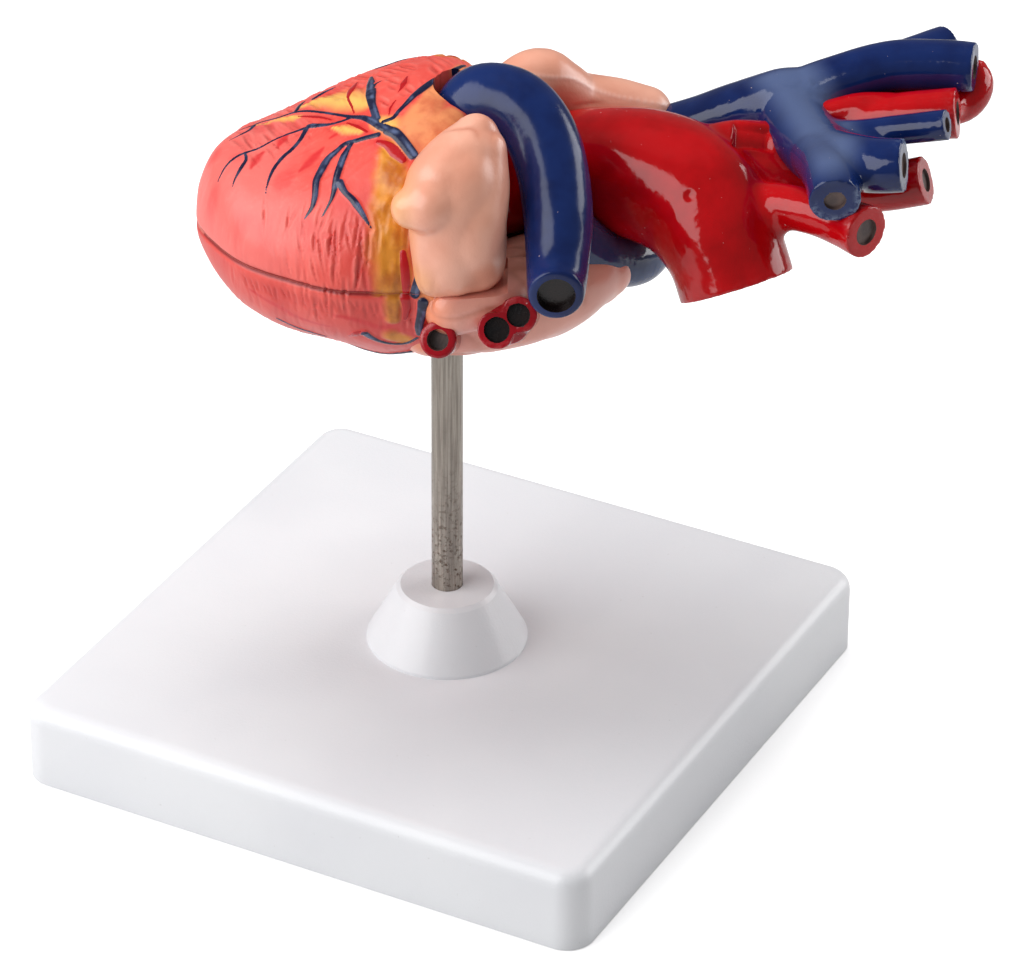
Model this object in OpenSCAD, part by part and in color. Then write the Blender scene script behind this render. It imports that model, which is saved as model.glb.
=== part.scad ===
// Demonstration model of a life-size human heart on a square stand.
// Millimetres. The origin is the centre of the base's underside, on the rod's axis, +Z up.
// The heart is drawn in its own frame, turned by heart_yaw about the rod: there +X points
// to the great vessels, -X to the apex, +Z to the front wall and -Y to the heart's left side.

/* [Stand] */
// Side of the square base
base_w = 160; // [140:1:200]
// Height of the base
base_h = 22; // [16:1:30]
// Radius of the base's upright corners
base_corner_r = 7.5; // [4:0.5:15]
// Radius of the base's upper edge
base_edge_r = 4.5; // [2:0.5:7]
// Wall of the hollow base
base_wall = 3; // [2:0.5:5]
// Thickness of the plate that closes the base
plate_t = 2.5; // [1.5:0.5:4]
// Diameter of the cone at its foot
cone_d = 41.3; // [34:0.1:60]
// Diameter of the cone at its top
cone_top_d = 25; // [18:0.5:32]
// Height of the cone above the base
cone_h = 16; // [10:0.5:30]
// Diameter of the rod
rod_d = 8; // [6:0.5:12]
// Height of the rod's top end
rod_top = 138; // [120:1:160]
// Radial play of the turning rod in the cone, and of the heart on the rod
rod_play = 0.05; // [0.03:0.01:0.1]
// Diameter of the screw that holds the rod
screw_d = 4; // [3:0.5:5]

/* [Heart] */
// Turn of the heart on its rod, degrees
heart_yaw = 27.75; // [-90:0.25:90]
// Height of the plane that parts the front wall from the rear half, above the rod's top
seam_over_rod = 6; // [5:0.5:12]
// Length from the base plane at the rod to the apex
apex_x = 61.5; // [50:0.5:75]
// Largest width of the ventricles
vent_w = 82.5; // [70:0.5:95]
// Largest height of the ventricles above the parting plane
vent_top = 38; // [30:0.5:45]
// Largest depth of the ventricles below the parting plane
vent_bottom = 32; // [26:0.5:38]
// How far the ventricles reach past the rod towards the vessels
vent_base_x = 10; // [8:0.5:14]
// Wall of the left ventricle
lv_wall = 9; // [6:0.5:12]
// Wall of the right ventricle
rv_wall = 6; // [5:0.5:8]
// Thickness of the septum
septum_t = 7; // [4:0.5:10]
// Gap along the parting line
seam_gap = 0.3; // [0.2:0.05:0.6]

/* [Magnets] */
// Diameter of a magnet
magnet_d = 4; // [3:0.5:4.5]
// Length of a magnet
magnet_h = 4; // [2:0.5:6]

/* [Vessels] */
// Diameter of the pulmonary trunk
pulmonary_d = 17.5; // [14:0.5:21]
// Diameter of the aortic arch
aorta_d = 33; // [28:0.5:36]
// Diameter of the arteries to the arms and head
artery_d = 12; // [8:0.5:14]
// Diameter of the upper vena cava
cava_d = 20; // [16:0.5:23]
// Diameter of the veins from the head and arms
vein_d = 13; // [10:0.5:15]
// Depth of the blind hole in each vessel's cut end
lumen_depth = 3; // [1:0.5:6]
// Wall of a vessel at its cut end
vessel_wall = 2; // [1:0.1:2.5]

/* [Hidden] */

$fn = 48;
// Overshoot of a cut past the face that it opens
CUT = 1;
// Clearance round what is glued or screwed in
FIT = 0.1;

// The heart's rows of points are drawn for ventricles of these sizes, and follow them.
DRAWN_LONG = 61.5;
DRAWN_WIDE = 82.5;
DRAWN_TOP = 38;
DRAWN_BOTTOM = 32;
long = apex_x / DRAWN_LONG;
wide = vent_w / DRAWN_WIDE;
above = vent_top / DRAWN_TOP;
below = vent_bottom / DRAWN_BOTTOM;
thick = (long + wide + (above + below) / 2) / 3;

// A drawn point in the heart's frame, at the ventricles' present size.
function placed(p) = [p[0] * long, p[1] * wide, p[2] * (p[2] > 0 ? above : below)];
// Drawn rows of [x, y, z, radius], at the ventricles' present size.
function grown(rows) = [for (r = rows) [each placed(r), r[3] * thick]];

// ---------- curves ----------

// A point on the Catmull-Rom curve from b to c, at t from 0 to 1.
function between(a, b, c, d, t) =
    0.5 * (2 * b + (c - a) * t + (2 * a - 5 * b + 4 * c - d) * t * t
    + (3 * b - a - 3 * c + d) * t * t * t);

// A smooth list through rows of numbers, with n steps from one row to the next.
function smooth(rows, n) = [
    for (i = [0 : len(rows) - 2], k = [0 : n - 1])
        between(rows[max(i - 1, 0)], rows[i], rows[i + 1], rows[min(i + 2, len(rows) - 1)], k / n),
    rows[len(rows) - 1]
];

function unit(v) = v / norm(v);
function xyz(row) = [row[0], row[1], row[2]];

// The direction of a list of rows at its i-th row.
function heading(rows, i) =
    unit(xyz(rows[min(i + 1, len(rows) - 1)]) - xyz(rows[max(i - 1, 0)]));

// ---------- skins ----------

function middle(ring) = [for (k = [0 : 2]) [for (p = ring) p[k]] * [for (p = ring) 1] / len(ring)];

// A closed solid through rings of points, with a fan over the first and the last ring.
module skin(rings) {
    n = len(rings[0]);
    m = len(rings);
    points = [for (ring = rings) each ring, middle(rings[0]), middle(rings[m - 1])];
    faces = [
        for (i = [0 : m - 2], k = [0 : n - 1])
            each [
                [i * n + k, (i + 1) * n + k, i * n + (k + 1) % n],
                [i * n + (k + 1) % n, (i + 1) * n + k, (i + 1) * n + (k + 1) % n]
            ],
        for (k = [0 : n - 1]) [m * n, k, (k + 1) % n],
        for (k = [0 : n - 1]) [m * n + 1, (m - 1) * n + (k + 1) % n, (m - 1) * n + k]
    ];
    polyhedron(points, faces);
}

// A ring of points of radius r round p, square to the direction d.
function ring_at(p, d, r, sides) =
    let (u = unit(cross(d, [0.12, 0.35, 1])), v = cross(d, u))
    [for (k = [0 : sides - 1]) p + r * (cos(k * 360 / sides) * u + sin(k * 360 / sides) * v)];

// A round vessel along rows of [x, y, z, radius], with a blind hole in its far end.
module vessel(rows, sides = 20, steps = 2, hole = true) {
    path = smooth(rows, steps);
    last = len(path) - 1;
    end = xyz(path[last]);
    ahead = heading(path, last);
    r_end = path[last][3];
    r_hole = r_end - vessel_wall;
    body = [for (i = [0 : last]) ring_at(xyz(path[i]), heading(path, i), path[i][3], sides)];
    lumen = [ring_at(end, ahead, r_hole, sides),
        ring_at(end - lumen_depth * ahead, ahead, r_hole * 0.92, sides)];
    skin(hole ? concat(body, lumen) : body);
}

// Balls of [x, y, z, radius] joined one after another.
module chain(rows, sides = 20) {
    for (i = [0 : len(rows) - 2])
        hull() {
            translate(xyz(rows[i])) sphere(r = rows[i][3], $fn = sides);
            translate(xyz(rows[i + 1])) sphere(r = rows[i + 1][3], $fn = sides);
        }
}

// The heart's frame: its origin is on the rod's axis, in the parting plane.
seam_z = rod_top + seam_over_rod;
bush_d = rod_d + 6;
module in_heart() { translate([0, 0, seam_z]) rotate([0, 0, heart_yaw]) children(); }

// ---------- the ventricles' outer form ----------

// Rows from the apex to the base: place along the length, then the near half width, the
// far half width, the height above and the depth below the parting plane, as shares of
// the largest ones.
VENT_ROWS = [
    [-1.000, 0.00, 0.00, 0.00, 0.00],
    [-0.990, 0.17, 0.16, 0.21, 0.18],
    [-0.930, 0.38, 0.35, 0.42, 0.41],
    [-0.830, 0.61, 0.58, 0.52, 0.61],
    [-0.725, 0.75, 0.72, 0.56, 0.74],
    [-0.625, 0.84, 0.82, 0.62, 0.82],
    [-0.505, 0.94, 0.92, 0.71, 0.85],
    [-0.390, 0.99, 0.98, 0.80, 0.91],
    [-0.270, 1.00, 1.00, 0.89, 0.99],
    [-0.150, 1.00, 1.00, 0.97, 1.00],
    [-0.030, 1.00, 1.00, 1.00, 0.97],
    [0.075, 0.96, 0.96, 0.96, 0.92],
    [0.165, 0.84, 0.84, 0.82, 0.82]
];
vent_y = 3 * wide;
near_w = 0.479 * vent_w;
far_w = vent_w - near_w;
VENT_SIDES = 40;

// The ventricles' size at a row: [x, near, far, top, bottom], less a wall on each side.
function vent_at(row, wall_near = 0, wall_far = 0, wall_z = 0) = [
    row[0] < 0 ? row[0] * apex_x : row[0] * vent_base_x / 0.165,
    max(row[1] * near_w - wall_near, 0.3), max(row[2] * far_w - wall_far, 0.3),
    max(row[3] * vent_top - wall_z, 0.3), max(row[4] * vent_bottom - wall_z, 0.3)
];

// A point on the skin of a section at an angle: 0 is far, 90 up, 180 near and 270 down.
function skin_point(s, a) = [
    s[0],
    vent_y + cos(a) * (cos(a) > 0 ? s[2] : s[1]),
    sin(a) * (sin(a) > 0 ? s[3] : s[4])
];

module ventricle_form() {
    rows = smooth(VENT_ROWS, 2);
    skin([for (row = rows) [for (k = [0 : VENT_SIDES - 1])
        skin_point(vent_at(row), k * 360 / VENT_SIDES)]]);
}

// The hollow: the outer form less its walls, from the apex to the flat basal wall.
basal_wall = 2;
cavity_base_x = -bush_d / 2 - basal_wall;
apex_wall = 7 * long;
module cavity_form(base_x) {
    tip = -0.93;
    inner = [for (row = smooth(VENT_ROWS, 2))
        if (row[0] > tip && row[0] * apex_x < base_x - 1)
            vent_at(row, lv_wall, rv_wall, (lv_wall + rv_wall) / 2)];
    end = inner[len(inner) - 1];
    shrink = 1 - apex_wall / (apex_x + base_x);
    skin([for (s = concat(inner, [[base_x, end[1], end[2], end[3], end[4]]]))
        let (t = [base_x + (s[0] - base_x) * shrink, s[1], s[2], s[3], s[4]])
        [for (k = [0 : VENT_SIDES - 1]) skin_point(t, k * 360 / VENT_SIDES)]]);
}

// The septum: an upright wall, bowed towards the far side, between the two chambers.
septum_y = 9 * wide;
septum_bow = 3 * wide;
module septum_form(base_x) {
    side = function (t, off)
        [base_x * t - apex_x * (1 - t), septum_y + off + septum_bow * sin(180 * t)];
    translate([0, 0, -vent_bottom])
        linear_extrude(height = vent_bottom + vent_top)
            polygon([
                for (t = [0 : 0.1 : 1]) side(t, -septum_t / 2),
                for (t = [1 : -0.1 : 0]) side(t, septum_t / 2)
            ]);
}

// ---------- parting ----------

// The front wall ends at an upright plane through the pulmonary trunk's root.
front_end_x = 5 * long;
// Near side of the basal block that stays on the rear half, behind the left auricle
block_near_y = -23 * wide;
// Where the left auricle's foot ends, past its lobes
auricle_end_x = 15 * long;
reach = 2 * apex_x;

module below_seam() {
    translate([-reach, -reach, -reach]) cube([2 * reach, 2 * reach, reach - seam_gap / 2]);
}

// The space that the lifting front wall takes.
module front_space() {
    translate([-reach, -reach, seam_gap / 2])
        cube([reach + front_end_x - seam_gap / 2, 2 * reach, reach]);
}

// The upright bay in both castings round the root of the pulmonary trunk, above a height.
bay_play = 1.7;
module trunk_bay(z) {
    translate([TRUNK_ROWS[0][0] + 1, TRUNK_ROWS[0][1], z])
        cylinder(r = pulmonary_d / 2 + bay_play, h = reach);
}

// The space under the left auricle's lobe and beside the basal block, from a gap below
// the parting plane.
module auricle_space() {
    translate([-reach, -reach, -seam_gap / 2])
        cube([reach + auricle_end_x, reach + block_near_y, reach]);
}

// ---------- rows of the vessels, in the heart's frame ----------

function sized(rows, d, d0) = [for (r = rows) [each placed(r), r[3] * d / d0]];

TRUNK_ROWS = sized([
    [5, 0, 24, 8], [6.5, -0.5, 30.5, 8.5], [11, -2, 35, 8.6], [17, -5, 35, 8.7],
    [22, -10, 31, 8.9], [25.5, -18, 24.5, 8.8], [27, -27, 16.5, 8.4],
    [27, -34, 9, 7.7], [26.7, -40, 5.5, 7.2], [26.6, -45.5, 5, 6.8]
], pulmonary_d, 17.5);
RIGHT_PULMONARY_ROWS = sized([
    [26, -16, 14, 7], [30, -12, 2, 8], [38, -5, -7, 7.2], [47, 5, -13, 6.6],
    [52, 20, -14, 6.6], [54, 38, -13, 6.8]
], pulmonary_d, 17.5);
AORTA_ROWS = sized([
    [7, -1.5, 8.8, 10.5], [11, -0.5, 8.8, 11.6], [17, 5, 8.5, 13], [27, 9.5, 9, 14], [38, 8, 10, 15.5],
    [48.5, 4, 11, 16.4], [58, -1, 9.5, 16.8], [64, -7, 6, 16.2],
    [68, -13, -0.5, 14.6], [71.8, -17, -8.5, 14.4]
], aorta_d, 33);
BRACHIOCEPHALIC_ROWS = sized([
    [60, 5, 16, 6.5], [70, 6, 18, 6.4], [80, 9, 16.5, 6.4], [90, 12, 17.5, 6.2],
    [98, 14, 21, 6]
], artery_d, 12);
RIGHT_CAROTID_ROWS = sized([
    [95, 12, 20, 5], [100, 10, 22, 5.6], [108, 8, 25, 5.9], [116, 6, 27, 6.1],
    [124.3, 4.6, 28.3, 6.3]
], artery_d, 12);
RIGHT_SUBCLAVIAN_ROWS = sized([
    [94, 13, 19, 4.8], [103, 15, 21.5, 5], [112, 16, 23, 5], [121, 17, 23.5, 5],
    [127, 18.5, 24.5, 5.2], [131, 21.5, 27.5, 5.2], [131.8, 24, 30.5, 5]
], artery_d, 12);
LEFT_CAROTID_ROWS = sized([
    [62, 0, 14, 6.5], [72, 1, 13, 6.3], [82, 2, 11.5, 6], [93.5, 0, 9.5, 5.8],
    [105, -4, 12, 5.8], [116.5, -7, 16, 6.1]
], artery_d, 12);
LEFT_SUBCLAVIAN_ROWS = sized([
    [66, -6, 8.5, 6.5], [73, -9, 9.5, 6.1], [80, -12, 11.5, 5.6], [89, -18, 13, 5.5],
    [96, -24, 13.7, 6], [101, -29.5, 14.2, 6.6]
], artery_d, 12);
CAVA_ROWS = sized([
    [30, 34, 2, 9.5], [42, 33, 3, 9.2], [52, 31, 5, 9.2], [62, 28, 9.5, 9.3], [73, 24, 16, 9.5],
    [84, 20, 22, 9.5], [90, 19, 24.5, 8]
], cava_d, 20);
RIGHT_BRACHIOCEPHALIC_ROWS = sized([
    [84, 20, 22.5, 7.5], [96.5, 20, 29, 6.6], [108.5, 20, 33, 6.3], [120.5, 18, 34.5, 6.3],
    [129, 16, 35, 6.2]
], vein_d, 13);
RIGHT_JUGULAR_ROWS = sized([
    [103, 23, 28, 5], [110, 28.5, 28.4, 5.6], [118, 34, 28.7, 5.8], [124, 38, 29, 5.8]
], vein_d, 13);
LEFT_BRACHIOCEPHALIC_ROWS = sized([
    [84, 20, 22, 8.5], [87, 8, 20.5, 8.4], [92, -4.5, 21, 8], [98, -13, 24, 7.2],
    [104, -18, 26, 6.8], [110, -19.8, 27, 6.6]
], vein_d, 13);
LEFT_SUBCLAVIAN_VEIN_ROWS = sized([
    [90, -3, 21, 7], [91.5, -12, 22, 6.7], [92.6, -21, 22.5, 6.5], [93, -27.5, 21, 6.4]
], vein_d, 13);
THYROID_ROWS = sized([
    [88, 7, 22, 4.5], [97, 1.5, 23.5, 4], [109, -3, 27.5, 3.7], [121, -6.5, 31, 3.9]
], vein_d, 13);
LOWER_CAVA_ROWS = sized([
    [22, 36, -4, 9], [12, 40, -14, 9], [4, 42, -23, 9], [-2, 43, -31, 9]
], cava_d, 20);

// ---------- stand ----------

module rounded_square(w, r) {
    hull()
        for (x = [-1, 1], y = [-1, 1])
            translate([x * (w / 2 - r), y * (w / 2 - r)]) circle(r = r);
}

// The base's outer form: upright sides and a rounded upper edge.
module base_form() {
    quarter = base_w / 2 - base_corner_r;
    for (x = [-1, 1], y = [-1, 1])
        translate([x * quarter, y * quarter, 0])
            rotate_extrude()
                difference() {
                    union() {
                        square([base_corner_r, base_h - base_edge_r]);
                        square([base_corner_r - base_edge_r, base_h]);
                        translate([base_corner_r - base_edge_r, base_h - base_edge_r])
                            circle(r = base_edge_r);
                    }
                    translate([-base_w, -1]) square([base_w, base_h + 2]);
                }
    for (turn = [0, 90, 180, 270])
        rotate([0, 0, turn])
            translate([0, quarter, 0])
                rotate([90, 0, 90])
                    linear_extrude(height = 2 * quarter, center = true) {
                        square([base_corner_r, base_h - base_edge_r]);
                        square([base_corner_r - base_edge_r, base_h]);
                        translate([base_corner_r - base_edge_r, base_h - base_edge_r])
                            circle(r = base_edge_r);
                    }
    translate([-quarter, -quarter, 0]) cube([2 * quarter, 2 * quarter, base_h]);
}

// The boss under the base's top holds the cone's spigot and the rod's screw
boss_d = rod_d + 14;
boss_z = 9;
boss_floor = 6;
rod_foot_z = boss_z + boss_floor;
spigot_d = rod_d + 8;
screw_hole_d = screw_d + 1;
// Four posts take the underplate's screws
post_d = 8;
post_place = base_w / 2 - base_wall - post_d / 2 - 6;
plate_screw_d = 2.8;
plate_screw_l = 9;
plate_hole_d = plate_screw_d + 0.4;

module at_posts() {
    for (x = [-1, 1], y = [-1, 1]) translate([x * post_place, y * post_place, 0]) children();
}

module base_shell() {
    color("white")
        difference() {
            base_form();
            difference() {
                translate([0, 0, -CUT])
                    linear_extrude(height = base_h - base_wall + CUT)
                        square(base_w - 2 * base_wall, center = true);
                translate([0, 0, boss_z]) cylinder(d = boss_d, h = base_h);
                at_posts() translate([0, 0, plate_t + FIT]) cylinder(d = post_d, h = base_h);
            }
            translate([0, 0, rod_foot_z]) cylinder(d = spigot_d + 2 * FIT, h = base_h);
            cylinder(d = screw_hole_d, h = base_h);
            at_posts() cylinder(d = plate_screw_d, h = plate_screw_l + CUT);
        }
}

module base_underplate() {
    side = base_w - 2 * base_wall - 2 * FIT;
    sink = plate_screw_d / 2;
    color("gainsboro")
        difference() {
            translate([-side / 2, -side / 2, 0]) cube([side, side, plate_t]);
            at_posts()
                rotate_extrude()
                    polygon([
                        [0, -CUT], [plate_hole_d / 2 + sink + CUT, -CUT], [plate_hole_d / 2, sink],
                        [plate_hole_d / 2, plate_t + CUT], [0, plate_t + CUT]
                    ]);
        }
}

module underplate_screws() {
    shank = plate_screw_d / 2 - FIT / 2;
    head_z = 0.2;
    head = plate_screw_d / 2;
    tip = 1;
    color("silver")
        at_posts()
            rotate_extrude()
                polygon([
                    [0, head_z], [shank + head - head_z, head_z], [shank, head],
                    [shank, plate_screw_l - tip], [0, plate_screw_l]
                ]);
}

module stand_cone() {
    top_z = base_h + cone_h;
    foot_edge = 0.8;
    top_edge = 1;
    color("white")
        difference() {
            rotate_extrude()
                polygon([
                    [0, rod_foot_z], [spigot_d / 2, rod_foot_z], [spigot_d / 2, base_h],
                    [cone_d / 2, base_h], [cone_d / 2, base_h + foot_edge],
                    [cone_top_d / 2 + top_edge / 2, top_z - top_edge],
                    [cone_top_d / 2 - top_edge / 2, top_z], [0, top_z]
                ]);
            translate([0, 0, rod_foot_z - CUT]) cylinder(d = rod_d + 2 * rod_play, h = top_z);
        }
}

washer_t = 1;
washer_z = boss_z - FIT - washer_t;
thread_l = 12;
rod_edge = 0.8;
module support_rod() {
    foot = rod_foot_z + FIT;
    color("silver")
        difference() {
            rotate_extrude()
                polygon([
                    [0, foot], [rod_d / 2 - rod_edge, foot], [rod_d / 2, foot + rod_edge],
                    [rod_d / 2, rod_top - rod_edge], [rod_d / 2 - rod_edge, rod_top], [0, rod_top]
                ]);
            cylinder(d = screw_d, h = rod_foot_z + thread_l + CUT);
        }
}

// The screw comes up through the base's boss and the washer into the rod's foot.
module rod_screw() {
    head_h = screw_d * 0.65;
    socket = head_h / 2;
    color("dimgray")
        difference() {
            union() {
                translate([0, 0, washer_z - head_h]) cylinder(d = screw_d * 1.8, h = head_h);
                translate([0, 0, washer_z - CUT])
                    cylinder(d = screw_d - FIT, h = rod_foot_z + thread_l - washer_z + CUT);
            }
            translate([0, 0, washer_z - head_h - CUT])
                cylinder(d = screw_d * 0.75, h = socket + CUT, $fn = 6);
        }
}

module rod_washer() {
    color("silver")
        translate([0, 0, washer_z])
            difference() {
                cylinder(d = screw_d * 2.6, h = washer_t);
                translate([0, 0, -CUT]) cylinder(d = screw_d + 2 * FIT, h = washer_t + 2 * CUT);
            }
}

// ---------- the heart's rear half ----------

// A blind bush in the heart's underside turns and rests on the rod's top end
bush_l = 25;
bush_cap = 2;
bush_top_z = rod_top + bush_cap;
bush_foot_z = bush_top_z - bush_l;

module bush_hole() {
    across = (bush_d / 2 + FIT) / cos(180 / $fn);
    translate([0, 0, -reach]) cylinder(r = across, h = bush_top_z + FIT - seam_z + reach);
}

module rod_bush() {
    color("dimgray")
        difference() {
            translate([0, 0, bush_foot_z]) cylinder(d = bush_d, h = bush_l);
            translate([0, 0, bush_foot_z - CUT])
                cylinder(d = rod_d + 2 * rod_play, h = bush_l - bush_cap + CUT);
        }
}

// Vessels in relief: each row is a place along the length and an angle round the section.
module relief(rows, r0, r1) {
    path = smooth(rows, 2);
    n = len(path) - 1;
    at = [for (p = path) skin_point(lookup_section(p[0]), p[1])];
    for (i = [0 : n - 1])
        hull() {
            translate(at[i]) sphere(r = r0 + (r1 - r0) * i / n, $fn = 8);
            translate(at[i + 1]) sphere(r = r0 + (r1 - r0) * (i + 1) / n, $fn = 8);
        }
}

// The ventricles' section at any place along the length, as a share of it.
function lookup_section(t) =
    let (col = function (k) lookup(t, [for (r = VENT_ROWS) [r[0], r[k]]]))
    vent_at([t, col(1), col(2), col(3), col(4)]);

REAR_VESSELS = [
    [[-0.10, 196], [-0.20, 214], [-0.36, 232], [-0.52, 240], [-0.66, 238]],
    [[-0.24, 222], [-0.30, 244], [-0.45, 262]],
    [[-0.05, 300], [-0.20, 290], [-0.40, 284], [-0.60, 280], [-0.78, 278]],
    [[-0.02, 330], [-0.22, 322], [-0.44, 318]]
];
FRONT_VESSELS = [
    [[-0.03, 128], [-0.18, 122], [-0.36, 116], [-0.55, 112], [-0.74, 112], [-0.90, 120]],
    [[-0.20, 126], [-0.32, 138], [-0.40, 150], [-0.48, 162]],
    [[-0.14, 128], [-0.24, 146], [-0.28, 164]],
    [[-0.36, 118], [-0.50, 128], [-0.62, 142]],
    [[-0.55, 113], [-0.66, 128], [-0.76, 142]],
    [[-0.22, 118], [-0.20, 104], [-0.28, 90]],
    [[-0.14, 124], [-0.06, 108], [-0.03, 92]],
    [[-0.55, 111], [-0.50, 100], [-0.42, 88]]
];

module rear_ventricles() {
    color("salmon")
        in_heart()
            difference() {
                union() {
                    intersection() {
                        ventricle_form();
                        union() {
                            below_seam();
                            translate([front_end_x + seam_gap / 2, block_near_y, -CUT])
                                cube([reach, reach, reach]);
                        }
                    }
                    intersection() {
                        for (rows = REAR_VESSELS) relief(rows, 1.3, 0.6);
                        below_seam();
                    }
                }
                cavity_form(cavity_base_x);
                bush_hole();
                aortic_way();
                pulmonary_way();
                trunk_bay(TRUNK_ROWS[0][2] + CUT);
                at_magnets() pocket(-magnet_h);
            }
}

module rear_septum() {
    color("salmon")
        in_heart()
            intersection() {
                septum_form(cavity_base_x);
                cavity_form(cavity_base_x);
                below_seam();
            }
}

// Three magnets a side sit in the middle of the rim: at the apex, and in each side wall.
magnet_share = -0.25;
module at_magnets() {
    side = lookup_section(magnet_share);
    places = [
        [apex_wall / 2 - apex_x, vent_y],
        [side[0], vent_y - side[1] + lv_wall / 2],
        [side[0], vent_y + side[2] - rv_wall / 2]
    ];
    for (p = places) translate([p[0], p[1], 0]) children();
}
module pocket(z) {
    sides = 24;
    across = (magnet_d / 2 + FIT / 2) / cos(180 / sides);
    translate([0, 0, z]) cylinder(r = across, h = magnet_h + CUT, $fn = sides);
}
module body_magnets() {
    color("silver")
        in_heart()
            at_magnets() translate([0, 0, -magnet_h]) cylinder(d = magnet_d, h = magnet_h);
}
module cover_magnets() {
    color("silver") in_heart() at_magnets() cylinder(d = magnet_d, h = magnet_h);
}

LEFT_ATRIUM_LOBES = [
    [[-3, -22, -15, 9.5], [6, -22, -12, 11.5], [17, -18, -10, 13], [28, -11, -9.5, 12.5], [37, -4, -10, 9]],
    [[2, -33, -5, 7.5], [10, -31, -4, 7.5], [17, -26, -3, 7]],
    [[4, 4, -20, 14], [22, 6, -19, 16], [34, 14, -19, 12]]
];

module left_atrium() {
    color("sandybrown")
        in_heart()
            difference() {
                for (rows = LEFT_ATRIUM_LOBES) chain(grown(rows), 20);
                ventricle_form();
                bush_hole();
                auricle_space();
            }
}

RIGHT_ATRIUM_LOBES = [
    [[14, 20, 25.5, 6], [23, 24, 26.5, 7.5], [32, 28, 20.5, 8], [42, 31, 15, 7.5], [49, 32, 12, 7]],
    [[18, 34, 12, 12], [24, 35, 3, 16], [20, 36, -6, 13]],
    [[24, 34, 10, 13], [36, 33, 8, 10]],
    [[17, 40, 2, 11.5], [22, 42, -4, 10]]
];

module right_atrium() {
    color("sandybrown")
        in_heart()
            difference() {
                for (rows = RIGHT_ATRIUM_LOBES) chain(grown(rows), 20);
                ventricle_form();
            }
}

module pulmonary_trunk() { color("navy") in_heart() vessel(TRUNK_ROWS); }
module right_pulmonary_artery() { color("steelblue") in_heart() vessel(RIGHT_PULMONARY_ROWS); }
module aorta() { color("crimson") in_heart() vessel(AORTA_ROWS, 28); }
module brachiocephalic_artery() { color("crimson") in_heart() vessel(BRACHIOCEPHALIC_ROWS, hole = false); }
module right_common_carotid_artery() { color("crimson") in_heart() vessel(RIGHT_CAROTID_ROWS); }
module right_subclavian_artery() { color("crimson") in_heart() vessel(RIGHT_SUBCLAVIAN_ROWS); }
module left_common_carotid_artery() { color("crimson") in_heart() vessel(LEFT_CAROTID_ROWS); }
module left_subclavian_artery() { color("crimson") in_heart() vessel(LEFT_SUBCLAVIAN_ROWS); }
module superior_vena_cava() { color("navy") in_heart() vessel(CAVA_ROWS, hole = false); }
module right_brachiocephalic_vein() { color("navy") in_heart() vessel(RIGHT_BRACHIOCEPHALIC_ROWS); }
module right_external_jugular_vein() { color("navy") in_heart() vessel(RIGHT_JUGULAR_ROWS); }
module left_brachiocephalic_vein() { color("navy") in_heart() vessel(LEFT_BRACHIOCEPHALIC_ROWS); }
module left_subclavian_vein() { color("navy") in_heart() vessel(LEFT_SUBCLAVIAN_VEIN_ROWS); }
module inferior_thyroid_vein() { color("navy") in_heart() vessel(THYROID_ROWS); }
module inferior_vena_cava() { color("navy") in_heart() vessel(LOWER_CAVA_ROWS); }

// Short veins of the lungs: each row is the place on the left atrium and the open end.
pulmonary_vein_d = 9 * thick;
function stub(from, to) =
    let (a = placed(from), b = placed(to))
    [for (t = [0, 0.5, 1]) [each a + (b - a) * t, pulmonary_vein_d / 2]];

module left_superior_pulmonary_veins() {
    color("firebrick") in_heart() {
        vessel(stub([13, -28, -14], [12.5, -42, -6.5]));
        vessel(stub([18.5, -26, -11], [17.6, -41, -3]));
    }
}
module left_inferior_pulmonary_vein() {
    color("firebrick") in_heart() vessel(stub([0, -27, -17], [-1.7, -41, -10]));
}
module right_pulmonary_veins() {
    color("firebrick") in_heart() {
        vessel(stub([26, 16, -19], [29, 33, -22]));
        vessel(stub([37, 18, -19], [41, 34, -22]));
    }
}

// ---------- valves and their muscles ----------

// A funnel of thin leaflets on the basal wall, opening towards the apex.
leaflet_deep = 9 * long;
leaflet_t = 1;
ring_w = 1.5;
function leaflet_r(valve) = valve[2] * 0.62;
module inlet_valve(valve) {
    r = valve[2];
    translate([cavity_base_x, valve[0], valve[1]])
        rotate([0, -90, 0])
            rotate_extrude()
                polygon([
                    [r - 2 * leaflet_t, 0], [r + ring_w, 0], [r + ring_w, ring_w],
                    [r, ring_w + leaflet_t / 2], [leaflet_r(valve), leaflet_deep],
                    [leaflet_r(valve) - leaflet_t, leaflet_deep], [r - 2 * leaflet_t, ring_w]
                ]);
}

// Each valve: its centre along Y and Z, and the radius of its ring
MITRAL = [-11 * wide, -10.5 * below, 8 * thick];
TRICUSPID = [25 * wide, -8 * below, 7.5 * thick];
module mitral_valve() { color("khaki") in_heart() inlet_valve(MITRAL); }
module tricuspid_valve() { color("khaki") in_heart() inlet_valve(TRICUSPID); }

// The ways out of the ventricles through the basal block, each ending at its vessel's root.
valve_t = 1.5;
module aortic_way() {
    root = AORTA_ROWS[0];
    translate([-1, root[1], root[2]]) rotate([0, 90, 0]) cylinder(r = root[3] - vessel_wall, h = root[0] + 1);
}
module pulmonary_way() {
    root = TRUNK_ROWS[0];
    r = root[3] - vessel_wall;
    chain([
        [each placed([-2, 18, 14]), r], [each placed([3, 10, 18]), r],
        [root[0], root[1] + 2, root[2] - 3, r]
    ]);
}

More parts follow.
